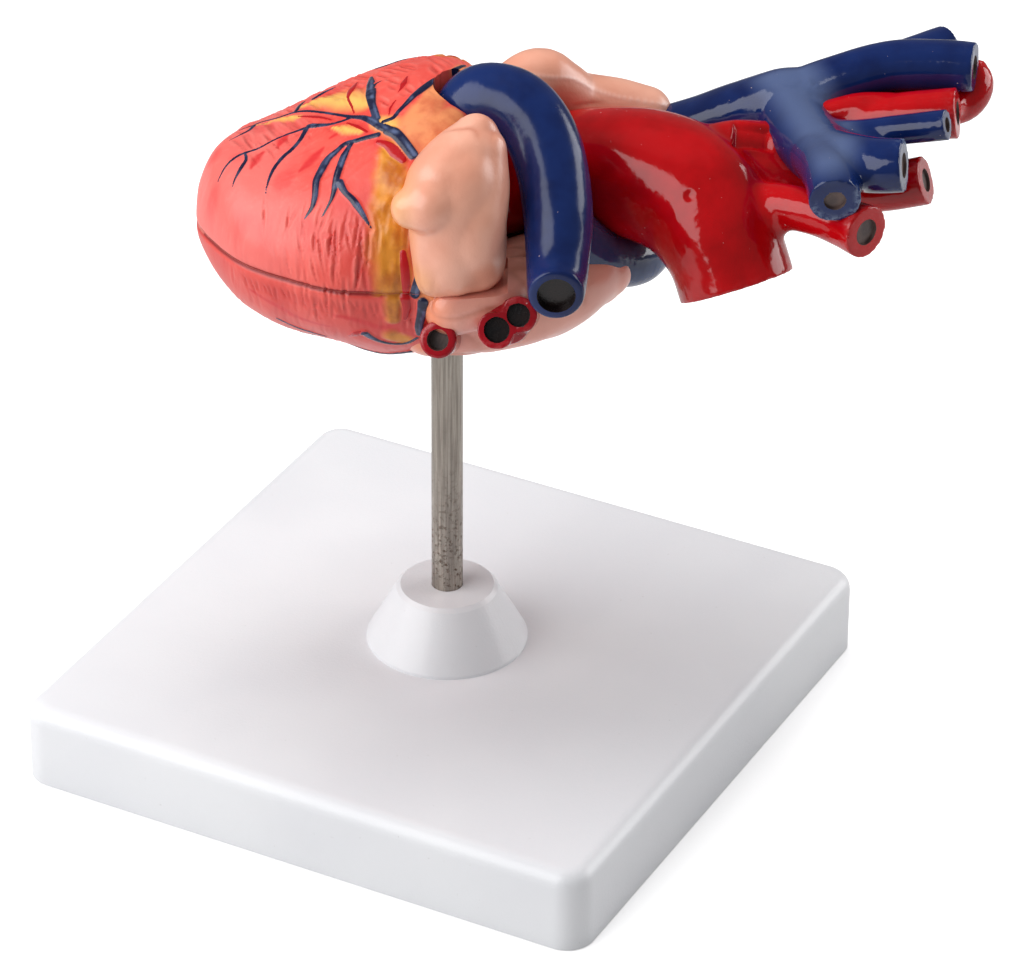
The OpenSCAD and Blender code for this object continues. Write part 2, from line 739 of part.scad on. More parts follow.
// A thin disc with three bulging pockets, closing a vessel of radius r.
module outlet_valve(r) {
    cylinder(r = r, h = valve_t);
    for (a = [0, 120, 240])
        rotate([0, 0, a])
            translate([r * 0.46, 0, 0])
                difference() {
                    sphere(r = r * 0.42);
                    translate([-r, -r, 0]) cube(2 * r);
                }
}
module aortic_valve() {
    root = AORTA_ROWS[0];
    color("khaki")
        in_heart()
            translate([root[0] - valve_t, root[1], root[2]])
                rotate([0, 90, 0]) outlet_valve(root[3] - vessel_wall - FIT);
}
module pulmonary_valve() {
    root = TRUNK_ROWS[0];
    color("khaki")
        in_heart()
            translate([root[0], root[1], root[2] - valve_t]) outlet_valve(root[3] - vessel_wall - FIT);
}

// A muscle cone from the wall towards a valve, and cords from its tip to the valve's rim.
cord_r = 0.7;
module papillary(foot, tip, valve, r0 = 4, r1 = 2) {
    side = placed(foot)[1] > valve[0] ? 90 : -90;
    r = leaflet_r(valve) - leaflet_t / 2;
    hull() {
        translate(placed(foot)) sphere(r = r0 * thick, $fn = 14);
        translate(placed(tip)) sphere(r = r1 * thick, $fn = 10);
    }
    for (a = [-50, 0, 50])
        hull() {
            translate(placed(tip)) sphere(r = cord_r, $fn = 6);
            translate([
                cavity_base_x - leaflet_deep + leaflet_t / 2,
                valve[0] + r * sin(a + side), valve[1] + r * cos(a + side)
            ])
                sphere(r = cord_r, $fn = 6);
        }
}
module left_papillary_muscles() {
    color("salmon") in_heart() {
        papillary([-38, -13, -13.5], [-28, -15, -12], MITRAL);
        papillary([-36, -2, -16.5], [-27, -6, -13], MITRAL);
    }
}
module right_papillary_muscles() {
    color("salmon") in_heart() {
        papillary([-34, 29, -11], [-26, 29, -10], TRICUSPID, 3.5, 1.8);
        papillary([-36, 20, -15], [-27, 22, -13], TRICUSPID, 3.5, 1.8);
    }
}

// ---------- the front wall that lifts off ----------

module front_wall() {
    color("salmon")
        in_heart()
            difference() {
                intersection() {
                    union() {
                        ventricle_form();
                        for (rows = FRONT_VESSELS) relief(rows, 1.3, 0.6);
                    }
                    front_space();
                }
                cavity_form(front_end_x + 1);
                trunk_bay(0);
                at_magnets() pocket(-CUT);
            }
}

module front_septum() {
    color("salmon")
        in_heart()
            difference() {
                intersection() {
                    septum_form(front_end_x + 1);
                    cavity_form(front_end_x + 1);
                    front_space();
                }
                trunk_bay(0);
            }
}

AURICLE_LOBES = [
    [[7.5, -24, 37, 5], [4, -28, 33, 7.5], [-1, -33, 27, 8.5], [-3.5, -37, 25, 7]],
    [[9, -27, 34, 5.5], [8, -31, 26, 7], [6, -34, 17, 8.5], [6, -29.5, 6, 8.5]],
    [[-1, -33, 22, 7.5], [0, -33, 14, 8], [2, -29, 6, 8]]
];

module left_auricle() {
    color("peachpuff")
        in_heart()
            difference() {
                for (rows = AURICLE_LOBES) chain(grown(rows), 20);
                intersection() { ventricle_form(); front_space(); }
                translate([-reach, -reach, -reach]) cube([2 * reach, 2 * reach, reach + seam_gap / 2]);
                translate([front_end_x - CUT, block_near_y - seam_gap, 0]) cube([reach, reach, reach]);
            }
}

base_shell();
base_underplate();
underplate_screws();
stand_cone();
support_rod();
rod_screw();
rod_washer();
rod_bush();
rear_ventricles();
rear_septum();
left_atrium();
right_atrium();
pulmonary_trunk();
right_pulmonary_artery();
aorta();
brachiocephalic_artery();
right_common_carotid_artery();
right_subclavian_artery();
left_common_carotid_artery();
left_subclavian_artery();
superior_vena_cava();
right_brachiocephalic_vein();
right_external_jugular_vein();
left_brachiocephalic_vein();
left_subclavian_vein();
inferior_thyroid_vein();
inferior_vena_cava();
left_superior_pulmonary_veins();
left_inferior_pulmonary_vein();
right_pulmonary_veins();
mitral_valve();
tricuspid_valve();
aortic_valve();
pulmonary_valve();
left_papillary_muscles();
right_papillary_muscles();
body_magnets();
front_wall();
front_septum();
left_auricle();
cover_magnets();
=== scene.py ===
"""A classroom model of a human heart on its stand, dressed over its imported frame.

The heart is worked in its own frame, in millimetres: the origin is on the rod's axis in the
parting plane, +X points to the great vessels, -X to the apex, -Y to the heart's left side and
+Z to the front wall. HeartFrame sets that frame into the row's frame, in metres.
"""

from __future__ import annotations

import logging
import math
from dataclasses import dataclass, field
from enum import Enum
from typing import Any, Callable, Iterable, Sequence

import bmesh
import bpy
import numpy as np
from mathutils import Matrix, Vector
from mathutils.kdtree import KDTree

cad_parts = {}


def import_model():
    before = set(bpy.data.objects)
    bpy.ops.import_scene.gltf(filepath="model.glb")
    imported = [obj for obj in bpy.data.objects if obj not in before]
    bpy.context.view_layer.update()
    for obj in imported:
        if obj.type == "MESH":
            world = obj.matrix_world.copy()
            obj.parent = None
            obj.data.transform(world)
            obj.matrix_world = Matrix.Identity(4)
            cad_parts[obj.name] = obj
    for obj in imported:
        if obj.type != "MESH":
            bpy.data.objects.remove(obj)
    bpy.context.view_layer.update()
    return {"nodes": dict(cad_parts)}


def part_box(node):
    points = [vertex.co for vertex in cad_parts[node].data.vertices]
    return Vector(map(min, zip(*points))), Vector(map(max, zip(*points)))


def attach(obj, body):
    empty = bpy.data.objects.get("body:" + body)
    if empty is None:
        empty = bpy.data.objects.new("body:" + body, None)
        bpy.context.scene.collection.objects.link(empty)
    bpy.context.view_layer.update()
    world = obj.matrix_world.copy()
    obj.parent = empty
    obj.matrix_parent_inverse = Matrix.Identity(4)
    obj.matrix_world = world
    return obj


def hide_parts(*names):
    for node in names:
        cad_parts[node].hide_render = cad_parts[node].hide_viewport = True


LOG = logging.getLogger("heart")
MM = 0.001
UP = np.array([0, 0, 1.0])
Rows = Sequence[Sequence[float]]
Pixel = tuple[float, float]


# ---------------------------------------------------------------- colour


def srgb(red: int, green: int, blue: int) -> tuple[float, float, float, float]:
    """Turns a colour as a screen shows it, 0 to 255, into a shader's linear one.

    Args:
        red: The red part.
        green: The green part.
        blue: The blue part.

    Returns:
        The linear colour with an alpha of 1.
    """
    parts = [v / 255 for v in (red, green, blue)]
    linear = [v / 12.92 if v <= 0.04045 else ((v + 0.055) / 1.055) ** 2.4 for v in parts]
    return (linear[0], linear[1], linear[2], 1.0)


# ---------------------------------------------------------------- frames and the photograph


@dataclass(frozen=True)
class HeartFrame:
    """The heart's own frame, in millimetres, inside the row's frame, in metres."""

    yaw: float = 27.75
    seam: float = 0.144

    def matrix(self) -> Matrix:
        """Gives the matrix from the heart's frame to the row's."""
        turn = Matrix.Rotation(math.radians(self.yaw), 4, "Z")
        return Matrix.Translation((0, 0, self.seam)) @ turn @ Matrix.Scale(MM, 4)


@dataclass(frozen=True)
class Photograph:
    """The camera that took the photograph, and the rays through its pixels."""

    frame: HeartFrame
    elevation: float = 31.907
    roll: float = 0.388
    distance: float = 1402.7
    lens: float = 189.9
    sensor: float = 36.0
    shift_right: float = 16.79
    shift_up: float = 56.445
    width: int = 1024
    height: int = 977
    reach: float = 140.0
    stride: float = 0.8
    halvings: int = 12

    def axes(self) -> np.ndarray:
        """Gives the camera's right, up and back in the heart's frame, as rows."""
        e, r = math.radians(self.elevation), math.radians(self.roll)
        back = np.array([0.0, -math.cos(e), math.sin(e)])
        right = np.array([1.0, 0.0, 0.0])
        up = np.cross(back, right)
        across = right * math.cos(r) + up * math.sin(r)
        return np.array([across, up * math.cos(r) - right * math.sin(r), back])

    def focal(self) -> float:
        """Gives the lens's focal length in pixels."""
        return self.lens / self.sensor * self.width

    def eye(self) -> np.ndarray:
        """Gives the camera's place in the heart's frame."""
        axes = self.axes()
        eye = axes[0] * self.shift_right + axes[1] * self.shift_up + axes[2] * self.distance
        return eye - np.array([0, 0, self.frame.seam / MM])

    def ray(self, pixel: Pixel) -> np.ndarray:
        """Gives the direction in which a pixel looks.

        Args:
            pixel: The pixel, in the photograph's frame.

        Returns:
            A direction in the heart's frame.
        """
        right, up = pixel[0] - self.width / 2, self.height / 2 - pixel[1]
        return self.axes().T @ np.array([right / self.focal(), up / self.focal(), -1.0])

    def pixels(self, points: np.ndarray) -> np.ndarray:
        """Gives the pixels at which points are seen, and how far off they lie.

        Args:
            points: The points in the heart's frame.

        Returns:
            A row of two pixel places and a distance for each point.
        """
        local = (points - self.eye()) @ self.axes().T
        away = -local[:, 2]
        across = self.width / 2 + self.focal() * local[:, 0] / away
        down = self.height / 2 - self.focal() * local[:, 1] / away
        return np.stack([across, down, away], 1)

    def facing(self, normals: np.ndarray) -> np.ndarray:
        """Says how squarely normals face the camera, from -1 to 1."""
        return normals @ self.axes()[2]

    def off_line(self, points: np.ndarray, rows: Rows) -> np.ndarray:
        """Measures how many pixels off a line points are seen.

        Args:
            points: The points in the heart's frame.
            rows: The pixels that the line runs through.

        Returns:
            A distance for each point.
        """
        seen, line = self.pixels(points), curve(rows, 6)
        return np.min(np.hypot(seen[:, :1] - line[:, 0], seen[:, 1:2] - line[:, 1]), axis=1)

    def onto(self, pixel: Pixel, inside: Callable[[np.ndarray], bool]) -> np.ndarray | None:
        """Finds where a pixel's ray first meets a solid.

        Args:
            pixel: The pixel, in the photograph's frame.
            inside: Says whether a point is in the solid.

        Returns:
            The point in the heart's frame, or None where the ray misses.
        """
        eye, ray = self.eye(), self.ray(pixel)
        t, far = self.distance - self.reach, self.distance + self.reach
        while t < far and not inside(eye + ray * t):
            t += self.stride
        if t >= far:
            return None
        low, high = t - self.stride, t
        for _ in range(self.halvings):
            mid = (low + high) / 2
            low, high = (low, mid) if inside(eye + ray * mid) else (mid, high)
        return eye + ray * high

    def take(self) -> None:
        """Makes the camera and sets it as the scene's."""
        data = bpy.data.cameras.new("photograph")
        data.lens = self.lens
        data.sensor_width = self.sensor
        data.sensor_fit = "HORIZONTAL"
        data.clip_end = 20
        camera = bpy.data.objects.new("photograph", data)
        turn = Matrix.Rotation(math.radians(self.frame.yaw), 3, "Z")
        basis = turn @ Matrix(self.axes().tolist()).transposed()
        eye = self.eye() + np.array([0, 0, self.frame.seam / MM])
        camera.matrix_world = Matrix.Translation(turn @ Vector(eye) * MM) @ basis.to_4x4()
        bpy.context.scene.collection.objects.link(camera)
        bpy.context.scene.camera = camera


# ---------------------------------------------------------------- curves and grain


def curve(rows: Rows, steps: int) -> np.ndarray:
    """Runs a smooth curve through rows of numbers.

    Args:
        rows: The rows that the curve passes through.
        steps: The number of steps from one row to the next.

    Returns:
        The curve's rows.
    """
    p = np.array(rows, float)
    last = len(p) - 1
    out = []
    for i in range(last):
        a, b, c, d = p[max(i - 1, 0)], p[i], p[i + 1], p[min(i + 2, last)]
        for k in range(steps):
            t = k / steps
            bend = (2 * a - 5 * b + 4 * c - d) * t**2
            out.append(0.5 * (2 * b + (c - a) * t + bend + (3 * b - a - 3 * c + d) * t**3))
    out.append(p[last])
    return np.array(out)


def even(path: np.ndarray, step: float) -> np.ndarray:
    """Spaces a path's points evenly.

    Args:
        path: The path's points, with any further columns.
        step: The spacing.

    Returns:
        The spaced points.
    """
    away = np.concatenate([[0], np.cumsum(np.linalg.norm(np.diff(path[:, :3], axis=0), axis=1))])
    count = max(int(away[-1] / step), 2)
    at = np.linspace(0, away[-1], count + 1)
    return np.stack([np.interp(at, away, path[:, k]) for k in range(path.shape[1])], 1)


class Grain:
    """Smooth seeded noise from -1 to 1 over points in space, which repeats after its size."""

    size = 24

    def __init__(self, seed: int) -> None:
        """Draws the lattice from a seed."""
        self.lattice = np.random.default_rng(seed).uniform(-1, 1, (self.size,) * 3)

    def at(self, points: np.ndarray, wave: float | Sequence[float]) -> np.ndarray:
        """Reads the noise.

        Args:
            points: The points.
            wave: The length of a wave, or one for each axis.

        Returns:
            A value for each point.
        """
        q = points / np.array(wave, float)
        base = np.floor(q).astype(int)
        t = q - base
        t = t * t * (3 - 2 * t)
        total = np.zeros(len(q))
        for corner in np.ndindex(2, 2, 2):
            i = (base + corner) % self.size
            share = np.prod(np.where(np.array(corner) == 1, t, 1 - t), axis=1)
            total += share * self.lattice[i[:, 0], i[:, 1], i[:, 2]]
        return total


def ramp(value: np.ndarray, low: float, high: float) -> np.ndarray:
    """Rises smoothly from 0 at low to 1 at high, or falls where high is the lower.

    Args:
        value: The values to read.
        low: Where the ramp is 0.
        high: Where the ramp is 1.

    Returns:
        The ramp's height at each value.
    """
    t = np.clip((value - low) / (high - low), 0, 1)
    return t * t * (3 - 2 * t)


def tree_of(rows: np.ndarray) -> KDTree:
    """Sorts points, so that the nearest ones are quickly found.

    Args:
        rows: The points, with any further columns.

    Returns:
        The sorted tree.
    """
    tree = KDTree(len(rows))
    for i, row in enumerate(rows):
        tree.insert(row[:3], i)
    tree.balance()
    return tree


class Trail:
    """Points with a width and a strength, laid along strokes on a surface."""

    def __init__(self) -> None:
        """Starts with no strokes."""
        self.points: list[np.ndarray] = []

    def stroke(
        self, path: np.ndarray, widths: Sequence[float], strength: float = 1.0,
        swell: bool = False, step: float = 0.3,
    ) -> None:
        """Adds a stroke.

        Args:
            path: The points that it passes through.
            widths: Its half widths, evenly spaced along it.
            strength: Its strength.
            swell: Whether it fades out at both ends.
            step: The spacing of its points.
        """
        spaced = even(path[:, :3], step)
        t = np.linspace(0, 1, len(spaced))
        wide = np.interp(t, np.linspace(0, 1, len(widths)), widths)
        strong = np.full(len(t), strength)
        if swell:
            strong = strong * np.sin(math.pi * np.clip(t, 0.02, 0.98)) ** 0.6
        self.points.append(np.column_stack([spaced, wide, strong]))

    def read(self, points: np.ndarray) -> tuple[np.ndarray, np.ndarray, np.ndarray]:
        """Measures how far points lie from the strokes.

        Args:
            points: The points.

        Returns:
            The distance, the half width and the strength at each point's nearest place.
        """
        rows = np.vstack(self.points)
        tree = tree_of(rows)
        found = [tree.find(p)[1:] for p in points]
        index = np.array([f[0] for f in found])
        return np.array([f[1] for f in found]), rows[index, 3], rows[index, 4]


# ---------------------------------------------------------------- forms


class Joining(Enum):
    """How one form changes another."""

    CARVE = "DIFFERENCE"
    KEEP = "INTERSECT"


class Form:
    """A closed mesh in the heart's frame, shaped step by step."""

    disc_sides = 64
    ball_sides = (32, 20)

    def __init__(self, name: str) -> None:
        """Starts an empty form with a piece's name."""
        self.name = name
        self.bm = bmesh.new()
        self.obj: bpy.types.Object | None = None

    # -- shapes that go into the form

    def skin(self, rings: Sequence[np.ndarray]) -> Form:
        """Bridges rings of points into a closed skin.

        Args:
            rings: The rings, each with as many points.

        Returns:
            The form.
        """
        before = first = None
        for ring in rings:
            verts = bmesh.ops.create_circle(self.bm, segments=len(ring), radius=1)["verts"]
            for vert, place in zip(verts, ring):
                vert.co = place
            edges = list({e for v in verts for e in v.link_edges})
            if before:
                bmesh.ops.bridge_loops(self.bm, edges=before + edges)
            first = first or edges
            before = edges
        bmesh.ops.contextual_create(self.bm, geom=first)
        bmesh.ops.contextual_create(self.bm, geom=before)
        return self

    def tube(self, path: np.ndarray, sides: int, extra: float = 0.0) -> Form:
        """Sweeps a round tube along a path of points and radii.

        Args:
            path: Rows of x, y, z and radius.
            sides: The number of sides.
            extra: How far it runs on past its far end.

        Returns:
            The form.
        """
        points, radii = path[:, :3], path[:, 3]
        ahead = np.gradient(points, axis=0)
        ahead /= np.linalg.norm(ahead, axis=1, keepdims=True)
        if extra:
            points = np.vstack([points, points[-1] + ahead[-1] * extra])
            radii = np.append(radii, radii[-1])
            ahead = np.vstack([ahead, ahead[-1]])
        side = np.cross(ahead[0], [0.12, 0.35, 1.0])
        angle = np.linspace(0, 2 * math.pi, sides, endpoint=False)
        rings = []
        for p, d, r in zip(points, ahead, radii):
            side = side - d * (side @ d)
            side /= np.linalg.norm(side)
            up = np.cross(d, side)
            rings.append(p + r * (np.outer(np.cos(angle), side) + np.outer(np.sin(angle), up)))
        return self.skin(rings)

    def ball(self, centre: Sequence[float], radius: float) -> Form:
        """Adds a ball.

        Args:
            centre: Its centre.
            radius: Its radius.

        Returns:
            The form.
        """
        round_it, rise = self.ball_sides
        matrix = Matrix.Translation(centre) @ Matrix.Scale(radius, 4)
        bmesh.ops.create_uvsphere(
            self.bm, u_segments=round_it, v_segments=rise, radius=1, matrix=matrix
        )
        return self

    def lobes(self, rows: Rows) -> Form:
        """Adds a soft limb along rows of x, y, z and radius, with a ball at each end.

        Args:
            rows: The rows that it passes through.

        Returns:
            The form.
        """
        path = even(curve(rows, 8), 1.5)
        self.tube(path, 28)
        self.ball(path[0, :3], float(path[0, 3]))
        self.ball(path[-1, :3], float(path[-1, 3]))
        return self

    def disc(self, centre: np.ndarray, axis: np.ndarray, radius: float, depth: float,
             top: float | None = None) -> Form:
        """Adds a short round bar, or a cone where the top has its own radius.

        Args:
            centre: The centre of its first end.
            axis: Its direction.
            radius: Its radius.
            depth: Its length.
            top: The radius of its far end.

        Returns:
            The form.
        """
        spin = Vector(axis).to_track_quat("Z", "Y").to_matrix().to_4x4()
        shift = Matrix.Translation(Vector(centre)) @ spin @ Matrix.Translation((0, 0, depth / 2))
        bmesh.ops.create_cone(
            self.bm, cap_ends=True, segments=self.disc_sides, radius1=radius,
            radius2=radius if top is None else top, depth=depth, matrix=shift,
        )
        return self

    def block(self, low: Sequence[float], high: Sequence[float]) -> Form:
        """Adds a rectangular block.

        Args:
            low: Its lowest corner.
            high: Its highest corner.

        Returns:
            The form.
        """
        low_v, high_v = Vector(low), Vector(high)
        matrix = Matrix.Translation((low_v + high_v) / 2) @ Matrix.Diagonal((*(high_v - low_v), 1))
        bmesh.ops.create_cube(self.bm, size=1, matrix=matrix)
        return self

    # -- from a bmesh to an object, and its modifiers

    def set(self) -> Form:
        """Turns what was added into a mesh object, with its faces outwards, if it isn't one."""
        if self.obj is None:
            bmesh.ops.remove_doubles(self.bm, verts=self.bm.verts, dist=1e-5)
            bmesh.ops.recalc_face_normals(self.bm, faces=self.bm.faces)
            mesh = bpy.data.meshes.new(self.name)
            self.bm.to_mesh(mesh)
            self.obj = bpy.data.objects.new(self.name, mesh)
            bpy.context.scene.collection.objects.link(self.obj)
            self.bm.free()
        return self

    def modify(self, kind: str, **settings: Any) -> Form:
        """Applies one modifier.

        Args:
            kind: The modifier's type.
            settings: Its settings.

        Returns:
            The form.
        """
        modifier = self.obj.modifiers.new(kind.lower(), kind)
        for key, value in settings.items():
            setattr(modifier, key, value)
        graph = bpy.context.evaluated_depsgraph_get()
        mesh = bpy.data.meshes.new_from_object(
            self.obj.evaluated_get(graph), preserve_all_data_layers=True, depsgraph=graph
        )
        old = self.obj.data
        self.obj.modifiers.clear()
        self.obj.data = mesh
        bpy.data.meshes.remove(old)
        return self

    def fuse(self, voxel: float, rounds: int) -> Form:
        """Melts everything in the form into one even skin.

        Args:
            voxel: The size of a face.
            rounds: How often it is smoothed.

        Returns:
            The form.
        """
        self.set()
        self.modify("REMESH", mode="VOXEL", voxel_size=voxel)
        return self.soften(rounds)

    def soften(self, rounds: int, weight: Callable[[np.ndarray], np.ndarray] | None = None) -> Form:
        """Smooths the skin.

        Args:
            rounds: How often.
            weight: How strongly, from 0 to 1, at each point.

        Returns:
            The form.
        """
        if weight is None:
            return self.modify("SMOOTH", iterations=rounds, factor=0.5)
        group = self.obj.vertex_groups.new(name="soft")
        values = np.round(np.clip(weight(self.points()), 0, 1) * 8) / 8
        for value in np.unique(values):
            group.add(np.nonzero(values == value)[0].tolist(), float(value), "REPLACE")
        self.modify("SMOOTH", iterations=rounds, factor=0.5, vertex_group="soft")
        self.obj.vertex_groups.clear()
        return self

    def join(self, how: Joining, *others: Form) -> Form:
        """Carves other forms out, or keeps only what lies in them; they are used up.

        Args:
            how: What happens to the form.
            others: The forms that change it.

        Returns:
            The form.
        """
        for form in (self, *others):
            form.set()
        for other in others:
            self.modify("BOOLEAN", operation=how.value, solver="MANIFOLD", object=other.obj)
            mesh = other.obj.data
            bpy.data.objects.remove(other.obj)
            bpy.data.meshes.remove(mesh)
        return self

    # -- the skin's points

    def vectors(self, items: Any, name: str) -> np.ndarray:
        """Reads the same vector of every item of a mesh.

        Args:
            items: The mesh's points, normals or faces.
            name: The vector's name.

        Returns:
            A row for each item.
        """
        out = np.empty(len(items) * 3)
        items.foreach_get(name, out)
        return out.reshape(-1, 3)

    def move(self, points: np.ndarray) -> Form:
        """Moves the skin's points to new places."""
        self.obj.data.vertices.foreach_set("co", points.ravel())
        self.obj.data.update()
        return self

    def points(self) -> np.ndarray:
        """Gives the skin's points."""
        return self.vectors(self.obj.data.vertices, "co")

    def normals(self) -> np.ndarray:
        """Gives the skin's normals at its points."""
        return self.vectors(self.obj.data.vertex_normals, "vector")

    def swell(self, height: np.ndarray | float) -> Form:
        """Moves each point along its normal.

        Args:
            height: How far each point moves, or all of them.

        Returns:
            The form.
        """
        return self.move(self.points() + self.normals() * np.reshape(height, (-1, 1)))

    def mark(self, name: str, values: np.ndarray) -> Form:
        """Keeps a value at each point, for the paint to read.

        Args:
            name: The value's name.
            values: A value for each point.

        Returns:
            The form.
        """
        data = self.obj.data.attributes
        layer = data.get(name) or data.new(name, "FLOAT", "POINT")
        layer.data.foreach_set("value", np.clip(values, 0, 1).astype(np.float32))
        return self

    def face_data(self) -> tuple[np.ndarray, np.ndarray]:
        """Gives the centres and the normals of the faces."""
        faces = self.obj.data.polygons
        return self.vectors(faces, "center"), self.vectors(faces, "normal")

    def assign(self, index: np.ndarray) -> Form:
        """Gives each face its place in the list of materials.

        Args:
            index: A place for each face.

        Returns:
            The form.
        """
        self.obj.data.polygons.foreach_set("material_index", index.astype(np.int32))
        return self

    def done(
        self, frame: HeartFrame | None, body: str, slot: str, materials: Sequence[bpy.types.Material],
        stands_for: Sequence[str] = (), crease: float = 50.0,
    ) -> None:
        """Sets the form into the row's frame and hands it to its body.

        Args:
            frame: The heart's frame, or None where the form is already in metres.
            body: The body that it moves with.
            slot: Not used.
            materials: Its materials.
            stands_for: The frame's nodes that it replaces.
            crease: The angle from which an edge stays sharp.
        """
        mesh = self.set().obj.data
        if frame is not None:
            mesh.transform(frame.matrix())
        mesh.name = self.name
        mesh.shade_smooth()
        mesh.set_sharp_from_angle(angle=math.radians(crease))
        kinds = np.zeros(len(mesh.polygons), np.int32)
        mesh.polygons.foreach_get("material_index", kinds)
        mesh.materials.clear()
        for material in materials:
            mesh.materials.append(material)
        mesh.polygons.foreach_set("material_index", kinds)
        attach(self.obj, body)
        if stands_for:
            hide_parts(*stands_for)
        LOG.info("%s: %d faces on %s", self.name, len(mesh.polygons), body)


BORE_R = 7.1
BORE_TOP = -3.9


def bush_bore(reach: float) -> Form:
    """Makes the upright bore that takes the bush on the rod.

    Args:
        reach: How far down it starts.

    Returns:
        The bore as a solid.
    """
    return Form("bore").disc(np.array([0, 0, -reach]), UP, BORE_R, reach + BORE_TOP)


# ---------------------------------------------------------------- shader maths


class Value:
    """A shader socket, or a number, with arithmetic."""

    def __init__(self, graph: Graph, socket: Any) -> None:
        """Wraps a socket.

        Args:
            graph: The graph that it belongs to.
            socket: The socket or the number.
        """
        self.graph = graph
        self.socket = socket

    def _maths(self, operation: str, *parts: Any, clamp: bool = False) -> Value:
        """Adds a Math node.

        Args:
            operation: Its operation.
            parts: Its inputs.
            clamp: Whether its result stays from 0 to 1.

        Returns:
            Its result.
        """
        node = self.graph.node(
            "ShaderNodeMath", {"operation": operation, "use_clamp": clamp}, dict(enumerate(parts))
        )
        return node(0)

    def __add__(self, other: Any) -> Value:
        """Adds."""
        return self._maths("ADD", self, other)

    __radd__ = __add__

    def __sub__(self, other: Any) -> Value:
        """Takes away."""
        return self._maths("SUBTRACT", self, other)

    def __rsub__(self, other: Any) -> Value:
        """Is taken away from."""
        return self._maths("SUBTRACT", other, self)

    def __mul__(self, other: Any) -> Value:
        """Multiplies."""
        return self._maths("MULTIPLY", self, other)

    __rmul__ = __mul__

    def clamp(self) -> Value:
        """Keeps from 0 to 1."""
        return self._maths("ADD", self, 0.0, clamp=True)

    def between(self, low: float, high: float) -> Value:
        """Rises from 0 at low to 1 at high.

        Args:
            low: Where the result is 0.
            high: Where the result is 1.

        Returns:
            The result.
        """
        settings = {"interpolation_type": "SMOOTHSTEP", "clamp": True}
        values = {"Value": self, "From Min": low, "From Max": high}
        return self.graph.node("ShaderNodeMapRange", settings, values)("Result")


class Graph:
    """The nodes of a material or of the world."""

    def __init__(self, name: str, owner: Any = None) -> None:
        """Clears the nodes of a new material, or of what is given.

        Args:
            name: The material's name.
            owner: What holds the nodes, where it is no material.
        """
        self.material = owner or bpy.data.materials.new(name)
        self.material.use_nodes = True
        self.tree = self.material.node_tree
        self.tree.nodes.clear()

    def node(
        self, kind: str, settings: dict[str, Any] | None = None,
        inputs: dict[Any, Any] | None = None,
    ) -> Callable[[Any], Value]:
        """Adds a node.

        Args:
            kind: The node's type.
            settings: Its settings, set first.
            inputs: The values or links of its sockets.

        Returns:
            A function that gives the node's output of a name or place.
        """
        node = self.tree.nodes.new(kind)
        for key, value in (settings or {}).items():
            setattr(node, key, value)
        for key, value in (inputs or {}).items():
            self.set(node.inputs[key], value)
        return lambda key: Value(self, node.outputs[key])

    def set(self, socket: Any, value: Any) -> None:
        """Links or sets a socket.

        Args:
            socket: The input socket.
            value: A Value to link, or a number or colour to set.
        """
        if isinstance(value, Value):
            self.tree.links.new(value.socket, socket)
        else:
            socket.default_value = value

    def place(self) -> Value:
        """Gives the point in the object's own frame, in metres."""
        return self.node("ShaderNodeTexCoord")("Object")

    def kept(self, name: str) -> Value:
        """Gives a value kept at the mesh's points.

        Args:
            name: The value's name.

        Returns:
            The value.
        """
        return self.node("ShaderNodeAttribute", {"attribute_name": name})("Fac")

    def noise(
        self, size: float, detail: float = 3.0, rough: float = 0.55,
        stretch: Sequence[float] = (1, 1, 1),
    ) -> Value:
        """Gives a noise from 0 to 1 over the object's own frame.

        Args:
            size: The size of a blotch, in metres.
            detail: How many finer layers it has.
            rough: How strong those are.
            stretch: How far it is stretched along each axis.

        Returns:
            The noise.
        """
        scale = tuple(1 / s for s in stretch)
        where = self.node("ShaderNodeMapping", {}, {"Vector": self.place(), "Scale": scale})
        values = {"Vector": where("Vector"), "Scale": 1 / size, "Detail": detail, "Roughness": rough}
        return self.node("ShaderNodeTexNoise", {}, values)("Fac")

    def mix(self, share: Any, low: Any, high: Any) -> Value:
        """Mixes two colours.

        Args:
            share: The share of the second.
            low: The first colour.
            high: The second colour.

        Returns:
            The mixed colour.
        """
        return self.node("ShaderNodeMix", {"data_type": "RGBA"}, {0: share, 6: low, 7: high})(2)

    def bump(self, height: Value, depth: float) -> Value:
        """Turns a height into a normal.

        Args:
            height: The height, from 0 to 1.
            depth: What a height of 1 measures, in metres.

        Returns:
            The normal.
        """
        values = {"Height": height, "Distance": depth, "Strength": 1.0}
        return self.node("ShaderNodeBump", {}, values)("Normal")

    def surface(self, **inputs: Any) -> bpy.types.Material:
        """Closes the material with its shader.

        Args:
            inputs: The shader's sockets, with _ for a space.

        Returns:
            The material.
        """
        values = {key.replace("_", " "): value for key, value in inputs.items()}
        shader = self.node("ShaderNodeBsdfPrincipled", {}, values)
        self.node("ShaderNodeOutputMaterial", {}, {"Surface": shader("BSDF")})
        return self.material


# ---------------------------------------------------------------- finishes


